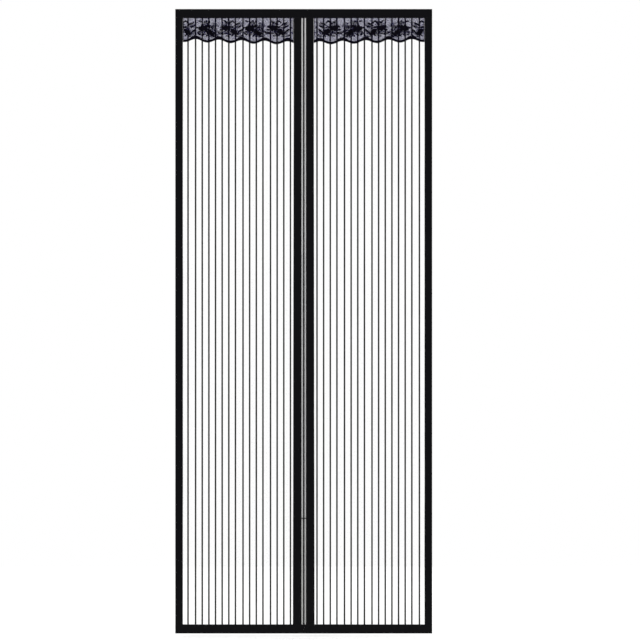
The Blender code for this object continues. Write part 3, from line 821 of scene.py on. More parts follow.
def add_veils(shape, side, draw):
    """Outlined leaves that three more families of ground threads close, upright and at 30
    degrees both ways."""
    outline = turned(leaf_outline, *repeated(VEILS)[:3])
    outline = outline[inside_lace(outline[..., 0], outline[..., 1], 5 * MM).all(axis=1)]
    add_tubes(shape, raised(outline, LACE_FRONT - 0.02 * MM, side), 0.4 * MM, 0.12 * MM,
              ring=True)
    closer = [(turn * np.pi / 6, 0.1, 1.0, in_veil) for turn in (1, 3, -1)]
    add_threads(shape, closer, side, draw, slot=1)


def make_lace_motifs(side_name, side, materials):
    """Flowers, leaves, stems, the corded edge and the outlined leaves, raised on the lace."""
    shape = Shape()
    draw = np.random.default_rng(SEED + 40 + side)
    add_flowers(shape, side, draw)
    add_leaves(shape, side, draw)
    add_stems(shape, side)
    add_corded_edge(shape, side)
    add_veils(shape, side, draw)
    return shape.finish(f"{side_name}_lace_flowers", materials)


def add_fishbones(shape, spots, turns, sizes, side):
    """The filling of an open leaf: a rib along its middle and short bars out to its edge.

    Bar number k leaves the rib at an even step and ends where the leaf's sine wave reaches.
    """
    step = np.linspace(-0.62, 0.62, 7)
    tip = step + 0.16
    end = np.sin(np.pi * (1 + tip) / 2)
    bars = np.stack([np.stack([step, 0 * step], -1), np.stack([tip, end], -1)], axis=1)
    bars = np.concatenate([bars, bars * [1, -1], [[[-0.9, 0], [0.9, 0]]]])
    sized = bars[None] * sizes[:, None, None, :]
    flat = spots[:, None, None, :] + spin(sized, turns[:, None, None])
    add_tubes(shape, raised(flat.reshape(-1, 2, 2), LACE_FRONT - 0.05 * MM, side),
              0.3 * MM, 0.12 * MM)


def add_corded_edge(shape, side):
    """Five cords laid side by side along the scalloped edge, the lowest one the thickest. They
    swell by a share of the wave at the crests. Three more close each end of the lace."""
    outs = np.linspace(LACE_INNER + 0.2 * MM, LACE_OUTER - 0.2 * MM, 190)
    swell = 1 + 0.45 * np.clip(scallop_wave(outs), 0, 1)
    # Height over the edge, half width and half depth in millimetres
    cords = ((0.85, 1.15, 0.4), (2.6, 1.1, 0.34), (4.35, 1.1, 0.31), (6.1, 1.1, 0.29),
             (7.75, 1.0, 0.26))
    for rise, wide, deep in cords:
        flat = np.stack([outs, lower_edge(outs) + rise * swell * MM], axis=-1)
        add_tubes(shape, raised(flat, LACE_FRONT + 0.05 * MM, side)[None], wide * swell * MM,
                  deep * MM, sides=6)
    for end, inward in ((LACE_INNER, 1), (LACE_OUTER, -1)):
        columns = end + inward * np.array([0.4, 1.1, 1.8]) * MM
        share = np.linspace(0, 1, 24)
        heights = lower_edge(columns)[:, None] * (1 - share) + (LACE_TOP - 0.2 * MM) * share
        flat = np.stack([np.broadcast_to(columns[:, None], heights.shape), heights], axis=-1)
        add_tubes(shape, raised(flat, LACE_FRONT, side), 0.42 * MM, 0.2 * MM, sides=6)


# Loop strips

LOOP_STEP = 2.8 * MM


def make_loop_strip(name, node, material):
    """A strip of looped pile: a flat tape whose back is raised by a seeded value at each point.

    The value is a base height, less at the strip's edges, less a random share at each point.
    """
    low, high = BOX[node]
    shape = Shape()
    draw = np.random.default_rng(SEED + len(name))
    across, height = np.meshgrid(steps(low.x, high.x, LOOP_STEP), steps(low.z, high.z, LOOP_STEP))
    inner = np.minimum.reduce([across - low.x, high.x - across, height - low.z, high.z - height])
    pile = (0.55 + 0.5 * ease(inner / (1.5 * MM))) * MM
    pile = pile * (1 - 0.28 * draw.uniform(0, 1, across.shape))
    add_cloth(shape, np.stack([across, low.y + pile / 2, height], axis=-1), pile)
    return settle(shape.finish(name, [material]), "loop_strip", node)


# Stitches


def add_stitch_row(shape, line, low, high, face_depth, face, pitch=4.8 * MM, length=3.4 * MM,
                   along="Z", seed=0):
    """A row of lock stitches: short threads on the cloth whose ends sink into it.

    line(t) gives the row's other coordinate. A stitch is three points, low at the ends and
    proud in the middle, leaning a little to one side.
    """
    draw = np.random.default_rng(SEED + 60 + seed)
    t = np.arange(low + pitch / 2, high - length, pitch)
    t = t + draw.uniform(-0.12, 0.12, len(t)) * MM
    place = t[:, None] + np.array([-0.5, 0, 0.5]) * length
    lean = np.array([-0.14, 0, 0.14]) * MM
    aside = line(place) + lean + draw.uniform(-0.06, 0.06, (len(t), 1)) * MM
    proud = np.array([-0.14, 0.1, -0.14]) * MM
    depth = np.broadcast_to(NET_Y + face * (face_depth + proud), place.shape)
    order = [aside, depth, place] if along == "Z" else [place, depth, aside]
    add_tubes(shape, np.stack(order, axis=-1), 0.24 * MM, 0.14 * MM,
              tone=draw.uniform(0, 1, len(t)), taper=np.array([0.45, 1.0, 0.45]))


def add_bar_tack(shape, side, face, height):
    """Seven close stitches across the sleeve, one above the other, that part two magnets."""
    rows = height + (np.arange(7) - 3) * 0.6 * MM
    outs = np.array([EDGING_END - 0.5 * MM, EDGING_END + CLEARANCE,
                     (EDGING_END + TAPE_START) / 2, TAPE_START - CLEARANCE,
                     TAPE_START + 0.5 * MM])
    proud = np.array([0.95, 1.1, 1.16, 1.1, 0.95]) * MM
    paths = np.stack(np.broadcast_arrays(
        side * outs, NET_Y + face * proud, rows[:, None] + 0.1 * MM * np.arange(-2, 3)
    ), axis=-1)
    add_tubes(shape, paths, 0.27 * MM, 0.13 * MM, taper=np.array([0.6, 1, 1, 1, 0.6]))


def make_stitches(name, face, material):
    """All rows of stitches on the front or the back, each row with a seed of its own."""
    shape = Shape()
    level = EDGE_SLOT / 2 + TAPE - 0.2 * MM
    hem_level = HEM_SLOT / 2 + TAPE - 0.35 * MM
    number = 0
    for side in SIDES.values():
        low, high = HEM_TOP + 1 * MM, LACE_TOP - 1 * MM
        rows = (
            lambda z: side * (BINDING_START + SEAM_INSET),
            lambda z: side * (TAPE_START + NET_SEAM),
            lambda z: side * (TAPE_START + tape_width(z) - SEAM_INSET),
        )
        for line in rows:
            number += 1
            add_stitch_row(shape, line, low, high, level, face, seed=number)
        number += 1
        add_stitch_row(shape, lambda z: side * (EDGING_END - 0.7 * MM), low, high,
                       level + 0.2 * MM, face, pitch=3.4 * MM, length=2.2 * MM, seed=number)
        add_bar_tack(shape, side, face, BOX["left_magnet_lower"][1].z)
        ends = sorted((side * CLOSING_EDGE, side * HALF_WIDTH))
        add_stitch_row(shape, lambda x: HEM_TOP - SEAM_INSET, *ends, hem_level, face,
                       along="X", seed=number + 20)
    add_stitch_row(shape, lambda x: LACE_TOP + SEAM_INSET, -HALF_WIDTH, HALF_WIDTH, hem_level,
                   face, along="X", seed=50)
    return shape.finish(name, [material])


# Shader groups


def put(tree, kind, inputs=None, **settings):
    """Adds a node. An input is a value or another node's output, by its name or number."""
    made = tree.nodes.new(kind)
    for name, value in settings.items():
        setattr(made, name, value)
    for key, value in (inputs or {}).items():
        if isinstance(value, bpy.types.NodeSocket):
            tree.links.new(value, made.inputs[key])
        else:
            made.inputs[key].default_value = value
    return made


def calc(tree, operation, first, second=0.0, third=0.0, clamp=False):
    """One step of arithmetic."""
    return put(tree, "ShaderNodeMath", {0: first, 1: second, 2: third},
               operation=operation, use_clamp=clamp).outputs[0]


def times(tree, first, second, clamp=False):
    """Two values multiplied."""
    return calc(tree, "MULTIPLY", first, second, clamp=clamp)


def scaled(tree, value, by, plus):
    """A value times one number, plus another."""
    return calc(tree, "MULTIPLY_ADD", value, by, plus)


def ramp(tree, value, low, high):
    """Straight from 0 at the low value to 1 at the high one, and level outside them."""
    return put(tree, "ShaderNodeMapRange", {0: value, 1: low, 2: high}).outputs[0]


def noise(tree, vector, scale, detail, **more):
    """A noise from 0 to 1."""
    inputs = {"Vector": vector, "Scale": scale, "Detail": detail, **more}
    return put(tree, "ShaderNodeTexNoise", inputs).outputs["Fac"]


def axes(tree, vector):
    """A vector's three parts."""
    return put(tree, "ShaderNodeSeparateXYZ", {0: vector}).outputs


def blend(tree, share, first, second):
    """Two colours mixed by a share. A colour is a node's output, or red, green and blue."""
    pair = [colour if isinstance(colour, bpy.types.NodeSocket) else (*colour, 1.0)
            for colour in (first, second)]
    return put(tree, "ShaderNodeMix", {0: share, 6: pair[0], 7: pair[1]},
               data_type="RGBA").outputs[2]


def lay(tree, base, mask, amount, colour):
    """A colour laid over the base by a mask times an amount."""
    return blend(tree, times(tree, mask, amount), base, colour)


def new_group(name, values, outputs):
    """An empty group. Its inputs are a vector and named values, its outputs are values."""
    tree = bpy.data.node_groups.new(name, "ShaderNodeTree")
    tree.interface.new_socket("Vector", in_out="INPUT", socket_type="NodeSocketVector")
    for title, value in values.items():
        socket = tree.interface.new_socket(title, in_out="INPUT", socket_type="NodeSocketFloat")
        socket.default_value = value
    for title in outputs:
        tree.interface.new_socket(title, in_out="OUTPUT", socket_type="NodeSocketFloat")
    start = tree.nodes.new("NodeGroupInput").outputs
    end = tree.nodes.new("NodeGroupOutput").inputs
    return tree, start, end


def send(tree, end, **values):
    """Gives values to a group's outputs, by name."""
    for title, value in values.items():
        tree.links.new(value, end[title])


def make_weave_group():
    """Plain weave. With u and v counted in threads, the height is the root of the size of sine
    u times sine v, and the product's sign tells which thread lies on top."""
    tree, given, end = new_group(
        "plain_weave", {"Across": 1500.0, "Along": 1500.0, "Waver": 0.35}, ["Height", "Over"]
    )
    uneven = calc(tree, "SUBTRACT", noise(tree, given["Vector"], 160.0, 1.0), 0.5)
    drift = times(tree, uneven, given["Waver"])
    parts = axes(tree, given["Vector"])
    waves = []
    for place, count in ((parts["X"], given["Across"]), (parts["Z"], given["Along"])):
        turn = times(tree, times(tree, place, count), np.pi)
        waves.append(calc(tree, "SINE", scaled(tree, drift, 6.0, turn)))
    product = times(tree, *waves)
    send(tree, end, Height=calc(tree, "POWER", calc(tree, "ABSOLUTE", product), 0.5),
         Over=scaled(tree, calc(tree, "SIGN", product), 0.5, 0.5))
    return tree


def make_fibre_group():
    """Fibres and lint: fine noise for loose fibres, slow noise for uneven dye, and sparse
    bright specks where a third noise passes a limit."""
    tree, given, end = new_group("fibres", {"Fine": 2600.0, "Slow": 14.0},
                                 ["Fuzz", "Dye", "Lint"])
    speck = noise(tree, given["Vector"], 420.0, 2.0, Distortion=1.5)
    send(tree, end, Fuzz=noise(tree, given["Vector"], given["Fine"], 3.0, Roughness=0.6),
         Dye=noise(tree, given["Vector"], given["Slow"], 4.0, Roughness=0.55),
         Lint=ramp(tree, speck, 0.68, 0.78))
    return tree


def make_wear_group():
    """Wear: the edge mark times broken noise, and dust that gathers in the lowest 0.3 m."""
    tree, given, end = new_group(
        "wear", {"Edge": 0.0, "Amount": 0.5, "Dust": 0.5, "Floor": HEM_LOW}, ["Rubbed", "Dusty"]
    )
    broken = noise(tree, given["Vector"], 55.0, 5.0, Roughness=0.65)
    rubbed = times(tree, ramp(tree, broken, 0.42, 0.66), given["Edge"])
    above = calc(tree, "SUBTRACT", axes(tree, given["Vector"])["Z"], given["Floor"])
    dusty = times(tree, ramp(tree, above, 0.3, 0.0), broken)
    send(tree, end, Rubbed=times(tree, rubbed, given["Amount"], clamp=True),
         Dusty=times(tree, dusty, given["Dust"], clamp=True))
    return tree


def make_satin_group():
    """Satin stitch: ridges across the map's second axis, slanted both ways from the middle
    line, as the sine of the length plus the slant times the distance from that line."""
    tree, given, end = new_group("satin_stitch", {"Pitch": 0.0005, "Slant": 0.6},
                                 ["Height", "Shade"])
    parts = axes(tree, given["Vector"])
    away = times(tree, calc(tree, "ABSOLUTE", parts["Y"]), given["Slant"])
    uneven = noise(tree, given["Vector"], 900.0, 2.0)
    count = calc(tree, "DIVIDE", calc(tree, "ADD", parts["X"], away), given["Pitch"])
    turn = scaled(tree, count, 2 * np.pi, times(tree, uneven, 2.5))
    wave = scaled(tree, calc(tree, "SINE", turn), 0.5, 0.5)
    send(tree, end, Height=wave, Shade=scaled(tree, wave, 0.5, times(tree, uneven, 0.5)))
    return tree


def make_twist_group():
    """Twisted yarn: the sine of the length along the thread plus the turn round it."""
    tree, given, end = new_group("twisted_yarn", {"Pitch": 0.0008, "Lean": 1.0}, ["Height"])
    parts = axes(tree, given["Vector"])
    both = scaled(tree, parts["X"], given["Lean"], parts["Y"])
    turn = times(tree, calc(tree, "DIVIDE", both, given["Pitch"]), 2 * np.pi)
    send(tree, end, Height=scaled(tree, calc(tree, "SINE", turn), 0.5, 0.5))
    return tree


WEAVE, FIBRES = make_weave_group(), make_fibre_group()
WEAR, SATIN, TWIST = make_wear_group(), make_satin_group(), make_twist_group()


# Materials


def new_material(name, specular, sheen=0.0, metallic=0.0, alpha=1.0):
    """A material with one Principled shader, its steady values set on the shader itself."""
    made = bpy.data.materials.new(name)
    made.use_nodes = True
    shader = made.node_tree.nodes["Principled BSDF"].inputs
    shader["Specular IOR Level"].default_value = specular
    shader["Sheen Weight"].default_value = sheen
    shader["Sheen Roughness"].default_value = 0.5
    shader["Metallic"].default_value = metallic
    shader["Alpha"].default_value = alpha
    return made, made.node_tree, shader


def group(tree, which, vector, **values):
    """Places a shader group in a material, with its vector and its named values."""
    return put(tree, "ShaderNodeGroup", {"Vector": vector, **values}, node_tree=which).outputs


def coordinate(tree, kind):
    """The object's own coordinates (Object) or its cloth map (UV)."""
    return put(tree, "ShaderNodeTexCoord").outputs[kind]


def mark(tree, name):
    """One of the piece's two marks: edge or tone."""
    return put(tree, "ShaderNodeAttribute", attribute_name=name).outputs["Fac"]


def drawn_marks(tree, place, scale):
    """Marks drawn out along one axis: a noise over coordinates that are scaled unevenly."""
    stretched = put(tree, "ShaderNodeMapping", {"Vector": place, "Scale": scale})
    return noise(tree, stretched.outputs[0], 1.0, 3.0)


def seen_directly(tree):
    """1 for what the camera, a gloss or a see-through piece sees, and 0 for what lights."""
    light = put(tree, "ShaderNodeLightPath").outputs
    through = calc(tree, "MAXIMUM", light["Is Glossy Ray"], light["Is Transmission Ray"])
    return calc(tree, "MAXIMUM", light["Is Camera Ray"], through)


def feed(tree, shader, base, rough, height, distance):
    """Feeds the shader its colour, its roughness, and a bump from a height and a distance."""
    bump = put(tree, "ShaderNodeBump", {"Height": height, "Distance": distance})
    tree.links.new(base, shader["Base Color"])
    tree.links.new(rough, shader["Roughness"])
    tree.links.new(bump.outputs["Normal"], shader["Normal"])


def make_binding_material():
    """Black woven tape: fine plain weave with painted shade in its hollows, uneven dye, lint,
    rubbed folds and dust near the floor."""
    made, tree, shader = new_material("black_binding_tape", 0.04, 0.03)
    place = coordinate(tree, "Object")
    weave = group(tree, WEAVE, place, Across=1400.0, Along=1100.0)
    fibre = group(tree, FIBRES, place)
    wear = group(tree, WEAR, place, Edge=mark(tree, "edge"), Amount=0.3, Dust=0.03)
    base = blend(tree, weave["Over"], (0.0022, 0.0022, 0.003), (0.0036, 0.0036, 0.0045))
    # Painted shade: darker where the weave is low, in the hollows between threads.
    base = blend(tree, times(tree, weave["Height"], 0.6), (0.0012, 0.0012, 0.0016), base)
    base = lay(tree, base, fibre["Dye"], 0.5, (0.0048, 0.0048, 0.0062))
    base = blend(tree, wear["Rubbed"], base, (0.022, 0.022, 0.024))
    base = blend(tree, wear["Dusty"], base, (0.10, 0.095, 0.09))
    base = lay(tree, base, fibre["Lint"], 0.06, (0.15, 0.15, 0.15))
    feed(tree, shader, base, scaled(tree, fibre["Fuzz"], 0.2, 0.74),
         scaled(tree, fibre["Fuzz"], 0.35, weave["Height"]), 0.12 * MM)
    return made


def make_edging_material():
    """Narrow edging of the same black, in a coarser rib with painted shade between the ribs, a
    little greyer where it is pinched.
    """
    made, tree, shader = new_material("black_edging", 0.05, 0.05)
    place = coordinate(tree, "Object")
    weave = group(tree, WEAVE, place, Across=1900.0, Along=650.0)
    fibre = group(tree, FIBRES, place)
    wear = group(tree, WEAR, place, Edge=mark(tree, "edge"), Amount=0.3, Dust=0.03)
    # Painted shade: darker between the ribs, lighter on their crowns.
    base = blend(tree, weave["Height"], (0.003, 0.003, 0.0036), (0.006, 0.006, 0.007))
    base = lay(tree, base, fibre["Dye"], 0.4, (0.008, 0.008, 0.009))
    base = blend(tree, wear["Rubbed"], base, (0.022, 0.022, 0.024))
    base = blend(tree, wear["Dusty"], base, (0.12, 0.11, 0.10))
    feed(tree, shader, base, scaled(tree, fibre["Fuzz"], 0.2, 0.72),
         scaled(tree, fibre["Fuzz"], 0.3, weave["Height"]), 0.15 * MM)
    return made


def make_stitch_material():
    """Polyester sewing thread: twisted yarn with a soft gloss and a painted highlight on the
    crests of its twist, each stitch a little different.
    """
    made, tree, shader = new_material("sewing_thread", 0.12)
    yarn = group(tree, TWIST, coordinate(tree, "UV"), Pitch=0.0006, Lean=0.8)
    base = blend(tree, mark(tree, "tone"), (0.008, 0.008, 0.009), (0.016, 0.016, 0.018))
    # Painted highlight: lighter on the crests of the twist, darker in its grooves.
    base = lay(tree, base, yarn["Height"], 0.5, (0.024, 0.024, 0.027))
    feed(tree, shader, base, scaled(tree, yarn["Height"], -0.15, 0.6), yarn["Height"], 0.06 * MM)
    return made


def make_net_material():
    """White polyester net thread, a little uneven from thread to thread, dusty at the foot."""
    made, tree, shader = new_material("white_net_thread", 0.3, alpha=0.26)
    place = coordinate(tree, "Object")
    yarn = group(tree, TWIST, coordinate(tree, "UV"), Pitch=0.0007, Lean=1.0)
    fibre = group(tree, FIBRES, place, Slow=9.0)
    wear = group(tree, WEAR, place, Dust=0.35)
    base = blend(tree, mark(tree, "tone"), (0.955, 0.955, 0.96), (0.985, 0.985, 0.988))
    base = lay(tree, base, fibre["Dye"], 0.15, (0.92, 0.92, 0.92))
    base = blend(tree, wear["Dusty"], base, (0.62, 0.59, 0.55))
    feed(tree, shader, base, scaled(tree, yarn["Height"], 0.2, 0.4), yarn["Height"], 0.03 * MM)
    return made


def make_stripe_material():
    """Woven black stripe: ribs across the ribbon with painted shade in the weave's hollows, each
    ribbon a tone of its own.
    """
    made, tree, shader = new_material("woven_black_stripe", 0.08, 0.05)
    place = coordinate(tree, "Object")
    weave = group(tree, WEAVE, place, Across=2100.0, Along=900.0, Waver=0.2)
    fibre = group(tree, FIBRES, place, Slow=30.0)
    wear = group(tree, WEAR, place, Edge=mark(tree, "edge"), Amount=0.4, Dust=0.1)
    base = blend(tree, mark(tree, "tone"), (0.0085, 0.0085, 0.0088), (0.013, 0.013, 0.0134))
    # Painted shade: darker where the weave is low, in the hollows between threads.
    base = blend(tree, times(tree, weave["Height"], 0.6), (0.005, 0.005, 0.0054), base)
    base = lay(tree, base, fibre["Dye"], 0.4, (0.017, 0.017, 0.0175))
    base = blend(tree, wear["Rubbed"], base, (0.035, 0.035, 0.035))
    base = blend(tree, wear["Dusty"], base, (0.14, 0.13, 0.12))
    feed(tree, shader, base, scaled(tree, fibre["Fuzz"], 0.2, 0.68),
         scaled(tree, fibre["Fuzz"], 0.3, weave["Height"]), 0.1 * MM)
    return made


def make_lace_material(name, passed_colour):
    """Fine black thread, lighter or darker from thread to thread, with a painted highlight on the
    crests of its twist. A share of the light passes each side of the thread and takes the passed
    colour."""
    made, tree, shader = new_material(name, 0.1)
    yarn = group(tree, TWIST, coordinate(tree, "UV"), Pitch=0.0006, Lean=1.0)
    fibre = group(tree, FIBRES, coordinate(tree, "Object"), Slow=70.0)
    base = blend(tree, mark(tree, "tone"), (0.006, 0.0055, 0.013), (0.012, 0.011, 0.022))
    # Painted highlight: lighter on the crests of the twist, darker in its grooves.
    base = lay(tree, base, yarn["Height"], 0.4, (0.017, 0.016, 0.03))
    base = lay(tree, base, fibre["Dye"], 0.5, (0.005, 0.0045, 0.011))
    feed(tree, shader, base, scaled(tree, yarn["Height"], 0.2, 0.5), yarn["Height"], 0.03 * MM)
    passed = put(tree, "ShaderNodeBsdfTransparent", {"Color": (*passed_colour, 1.0)})
    end = tree.nodes["Material Output"].inputs["Surface"]
    solid = end.links[0].from_socket
    both = put(tree, "ShaderNodeMixShader", {0: 0.42, 1: solid, 2: passed.outputs[0]})
    tree.links.new(both.outputs[0], end)
    return made


def make_flower_material():
    """Black satin stitch on the lace: slanted ridges with a low gloss and a blue cast."""
    made, tree, shader = new_material("lace_satin_stitch", 0.015)
    satin = group(tree, SATIN, coordinate(tree, "UV"), Pitch=0.00055, Slant=0.7)
    fibre = group(tree, FIBRES, coordinate(tree, "Object"), Slow=60.0)
    base = blend(tree, mark(tree, "tone"), (0.0003, 0.0002, 0.0009), (0.0048, 0.0043, 0.0088))
    base = lay(tree, base, satin["Shade"], 0.3, (0.002, 0.0018, 0.0042))
    base = lay(tree, base, fibre["Dye"], 0.4, (0.0007, 0.0006, 0.0016))
    feed(tree, shader, base, scaled(tree, satin["Height"], -0.15, 0.58), satin["Height"],
         0.1 * MM)
    return made


def make_sleeve_material():
    """Sheer sleeve over the magnets: thin pale voile that lets the strip show through, with
    painted shade in the weave's hollows.
    """
    made, tree, shader = new_material("sheer_sleeve", 0.1, 0.03, alpha=0.5)
    place = coordinate(tree, "Object")
    weave = group(tree, WEAVE, place, Across=2600.0, Along=2400.0)
    fibre = group(tree, FIBRES, place, Slow=20.0)
    # Painted shade: darker where the weave is low, lighter on its crowns.
    base = blend(tree, weave["Height"], (0.43, 0.43, 0.434), (0.56, 0.56, 0.565))
    base = lay(tree, base, fibre["Dye"], 0.4, (0.48, 0.477, 0.473))
    feed(tree, shader, base, scaled(tree, fibre["Fuzz"], 0.2, 0.5), weave["Height"], 0.05 * MM)
    return made


def make_magnet_material(name, colour):
    """Flexible magnet strip: matt ferrite rubber with fine grain, rolling marks along its
    length and faint rubbing."""
    made, tree, shader = new_material(name, 0.3)
    place = coordinate(tree, "Object")
    fibre = group(tree, FIBRES, place, Fine=3800.0, Slow=24.0)
    marks = drawn_marks(tree, place, (2400.0, 2400.0, 14.0))
    dark, light = (tuple(share * value for value in colour) for share in (0.8, 1.2))
    base = lay(tree, blend(tree, marks, dark, light), fibre["Dye"], 0.4, colour)
    base = lay(tree, base, fibre["Lint"], 0.3, (0.6, 0.6, 0.6))
    feed(tree, shader, base, scaled(tree, marks, 0.3, 0.4),
         calc(tree, "ADD", marks, fibre["Fuzz"]), 0.04 * MM)
    return made


def make_pile_material():
    """Loop pile: dark tangled loops, paler on top where they catch light and lint."""
    made, tree, shader = new_material("black_loop_pile", 0.05, 0.15)
    place = coordinate(tree, "Object")
    fibre = group(tree, FIBRES, place, Fine=1800.0, Slow=26.0)
    loops = put(tree, "ShaderNodeTexVoronoi", {"Vector": place, "Scale": 1300.0},
                feature="SMOOTH_F1").outputs["Distance"]
    base = blend(tree, loops, (0.022, 0.022, 0.024), (0.004, 0.004, 0.005))
    base = lay(tree, base, fibre["Dye"], 0.5, (0.012, 0.012, 0.013))
    base = lay(tree, base, fibre["Lint"], 0.35, (0.22, 0.22, 0.22))
    feed(tree, shader, base, scaled(tree, fibre["Fuzz"], 0.15, 0.8),
         scaled(tree, fibre["Fuzz"], 0.5, times(tree, loops, -1.0)), 0.4 * MM)
    return made


def make_steel_material():
    """Flat steel weight: zinc-bright with drawn marks along it and dull specks."""
    made, tree, shader = new_material("drawn_steel", 0.5, metallic=1.0)
    place = coordinate(tree, "Object")
    marks = drawn_marks(tree, place, (30.0, 3000.0, 3000.0))
    fibre = group(tree, FIBRES, place, Slow=60.0)
    base = blend(tree, marks, (0.42, 0.43, 0.45), (0.6, 0.61, 0.63))
    base = lay(tree, base, fibre["Lint"], 0.5, (0.2, 0.18, 0.16))
    rough = scaled(tree, marks, 0.25, times(tree, fibre["Dye"], 0.3))
    feed(tree, shader, base, rough, marks, 0.03 * MM)
    return made


def make_floor_material():
    """Pale floor: matt white with a faint mottle. Seen directly or in a reflection it is lifted
    to white, and the object's shadow stays."""
    made, tree, shader = new_material("pale_floor", 0.1)
    shader["Roughness"].default_value = 0.9
    mottle = noise(tree, coordinate(tree, "Object"), 9.0, 4.0)
    tree.links.new(blend(tree, mottle, (0.80, 0.80, 0.80), (0.83, 0.83, 0.83)),
                   shader["Base Color"])
    tree.links.new(times(tree, seen_directly(tree), 0.3), shader["Emission Strength"])
    shader["Emission Color"].default_value = (1.0, 1.0, 1.0, 1.0)
    return made


# Pieces put in their places


def dress_top(finishes):
    """The top binding with its loop strip, and all the stitches. Gives the binding."""
    path = folded_path(SCREEN_TOP, LACE_TOP, HEM_SLOT, *HEM_FORM)
    level = steps(-HALF_WIDTH, HALF_WIDTH, HEM_STEP)
    top = make_binding("top_binding", path, "X", level, finishes["tape"], seed=1)
    strip = make_loop_strip("top_loop_pile", "top_loop_strip", finishes["pile"])
    settle(make_stitches("front_stitches", -1, finishes["thread"]), "binding_tape")
    settle(make_stitches("back_stitches", 1, finishes["thread"]), "binding_tape")
    return top


def dress_edges(side_name, side, finishes):
    """One panel's bindings, edging, closing tape and sleeve. Gives the side binding and the
    closing tape, which hold the net."""
    tape = finishes["tape"]
    upright = steps(PANEL_LOW, PANEL_TOP, 16 * MM)
    path = folded_path(HALF_WIDTH, BINDING_START, EDGE_SLOT)
    binding = make_binding(f"{side_name}_side_binding", path, "Z", upright, tape, side,
                           seed=10 + side)

    path = folded_path(HEM_LOW, HEM_TOP, HEM_SLOT, *HEM_FORM)
    ends = sorted((side * MEETING_EDGE, side * HALF_WIDTH))
    hem = make_binding(f"{side_name}_bottom_binding", path, "X", steps(*ends, HEM_STEP), tape,
                       seed=20 + side)

    path = folded_path(MEETING_EDGE, EDGING_END, EDGE_SLOT)
    edging = make_binding(f"{side_name}_edging", path, "Z", upright, finishes["edging"], side,
                          seed=30 + side, wander=0.1 * MM)

    shape = Shape()
    add_tape_layer(shape, side, -1, upright, 40 + side)
    add_tape_layer(shape, side, 1, upright, 50 + side)
    closing = settle(shape.finish(f"{side_name}_closing_tape_cloth", [tape]), "binding_tape",
                     f"{side_name}_closing_tape")

    shape = Shape()
    add_sleeve_layer(shape, side, -1, upright)
    add_sleeve_layer(shape, side, 1, upright)
    sleeve = settle(shape.finish(f"{side_name}_sheer_sleeve", [finishes["sleeve"]]), "sleeve",
                    f"{side_name}_magnet_sleeve")
    return binding, closing


def dress_panel(side_name, side, finishes, top, binding, closing):
    """One panel's net and lace valance, and the loop strip behind its side binding."""
    net = settle(make_net(side_name, side, [finishes["net"], finishes["stripe"]]), "net",
                 f"{side_name}_net")

    motifs = settle(make_lace_motifs(side_name, side, [finishes["flowers"], finishes["closer"]]),
                    "lace", f"{side_name}_valance")
    ground = settle(make_lace_ground(side_name, side, finishes["lace"]), "lace",
                    f"{side_name}_valance")

    node = f"{side_name}_loop_strip"
    strip = make_loop_strip(f"{side_name}_loop_pile", node, finishes["pile"])


def dress_screen():
    """Builds every piece."""
    finishes = {
        "tape": make_binding_material(),
        "edging": make_edging_material(),
        "thread": make_stitch_material(),
        "pile": make_pile_material(),
        "net": make_net_material(),
        "stripe": make_stripe_material(),
        "lace": make_lace_material("lace_ground_thread", (0.5, 0.49, 0.99)),
        "closer": make_lace_material("lace_closer_thread", (0.5, 0.49, 0.78)),
        "flowers": make_flower_material(),
        "sleeve": make_sleeve_material(),
    }
    top = dress_top(finishes)
    for side_name, side in SIDES.items():
        held_by = dress_edges(side_name, side, finishes)
        dress_panel(side_name, side, finishes, top, *held_by)


def finish_frame_pieces():
    """The magnets and the weights keep their shapes from the frame and get their finish. The
    three lengths, which show through the sleeve, are lit and shaded copies of one ferrite:
    painted paler than ferrite to make up for the sleeve's shade, and lightest at the top."""
    # Painted light and shade: one ferrite in three shades, lightest at the top, all far paler
    # than ferrite to make up for the sleeve's shade.
    magnets = {
        "upper": make_magnet_material("upper_magnet_ferrite", (0.94, 0.93, 0.93)),
        "middle": make_magnet_material("middle_magnet_ferrite", (0.5, 0.5, 0.515)),
        "lower": make_magnet_material("lower_magnet_ferrite", (0.38, 0.38, 0.26)),
    }
    steel = make_steel_material()
    for side_name in SIDES:
        for place, material in magnets.items():
            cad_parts[f"{side_name}_magnet_{place}"].material_slots[0].material = material
        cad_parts[f"{side_name}_hem_weight"].material_slots[0].material = steel


# Studio

# Where the photograph shows the screen, in pixels from its left and upper edge
PICTURE_PIXELS = 640
MEETING_PIXEL = 303.72
TOP_PIXEL = 9.05
PIXEL = 2.2 / 624.45
DISTANCE = 14.0
SENSOR = 36.0
# Name, place and power of each lamp
LAMPS = (
    ("key_lamp", (-2.6, -3.6, 0.6), 90),
    ("fill_lamp", (3.2, -3.2, -0.6), 54),
    ("back_lamp", (2.8, 3.4, 0.4), 72),
)
LAMP_SIZE = 2.4
SOFT_LIGHT = 0.74
FLOOR_GAP = 13 * MM
FLOOR_THICKNESS = 10 * MM


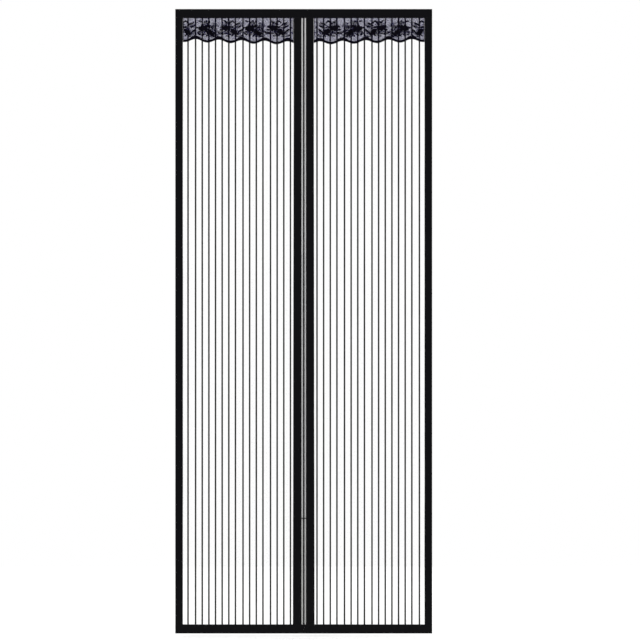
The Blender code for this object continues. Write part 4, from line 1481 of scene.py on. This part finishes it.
def add_camera():
    """A long lens straight in front, level, placed so that the screen stands in the frame as it
    does in the photograph."""
    camera = bpy.data.cameras.new("camera")
    camera.sensor_width = SENSOR
    camera.lens = SENSOR * DISTANCE / (PICTURE_PIXELS * PIXEL)
    camera.clip_end = 100.0
    holder = bpy.data.objects.new("camera", camera)
    across = (PICTURE_PIXELS / 2 - MEETING_PIXEL) * PIXEL
    height = SCREEN_TOP - (PICTURE_PIXELS / 2 - TOP_PIXEL) * PIXEL
    holder.location = (across, -DISTANCE + NET_Y, height)
    holder.rotation_euler = (np.pi / 2, 0, 0)
    bpy.context.scene.collection.objects.link(holder)
    bpy.context.scene.camera = holder


def add_lamp(name, place, power):
    """A square soft lamp that points at the middle of the screen."""
    lamp = bpy.data.lights.new(name, "AREA")
    lamp.shape = "SQUARE"
    lamp.size = LAMP_SIZE
    lamp.energy = power
    holder = bpy.data.objects.new(name, lamp)
    holder.location = place
    middle = Vector((0, 0, (SCREEN_TOP + HEM_LOW) / 2))
    holder.rotation_euler = (middle - Vector(place)).to_track_quat("-Z", "Y").to_euler()
    holder.visible_camera = False
    bpy.context.scene.collection.objects.link(holder)


def add_world():
    """Even soft light all round. What the camera, a gloss or a see-through piece sees of it is
    plain white."""
    world = bpy.data.worlds.new("studio")
    world.use_nodes = True
    bpy.context.scene.world = world
    tree = world.node_tree
    tree.nodes.clear()
    soft = put(tree, "ShaderNodeBackground", {"Color": (1, 1, 1, 1), "Strength": SOFT_LIGHT})
    white = put(tree, "ShaderNodeBackground", {"Color": (1, 1, 1, 1), "Strength": 1.0})
    mixed = put(tree, "ShaderNodeMixShader", {0: seen_directly(tree), 1: soft.outputs[0],
                                              2: white.outputs[0]})
    put(tree, "ShaderNodeOutputWorld", {0: mixed.outputs[0]})


def add_floor():
    """A flat floor a little below the hem, as a grid of even steps."""
    shape = Shape()
    u, v = np.meshgrid(np.linspace(-4, 4, 17), np.linspace(-3, 4, 15))
    level = HEM_LOW - FLOOR_GAP - FLOOR_THICKNESS / 2
    add_cloth(shape, np.stack([u, v, np.full(u.shape, level)], axis=-1), FLOOR_THICKNESS)
    floor = shape.finish("studio_floor", [make_floor_material()], smooth=False)


add_camera()
add_world()
for name, place, power in LAMPS:
    add_lamp(name, place, power)
add_floor()
dress_screen()
finish_frame_pieces()

bpy.context.scene.view_settings.view_transform = "Standard"
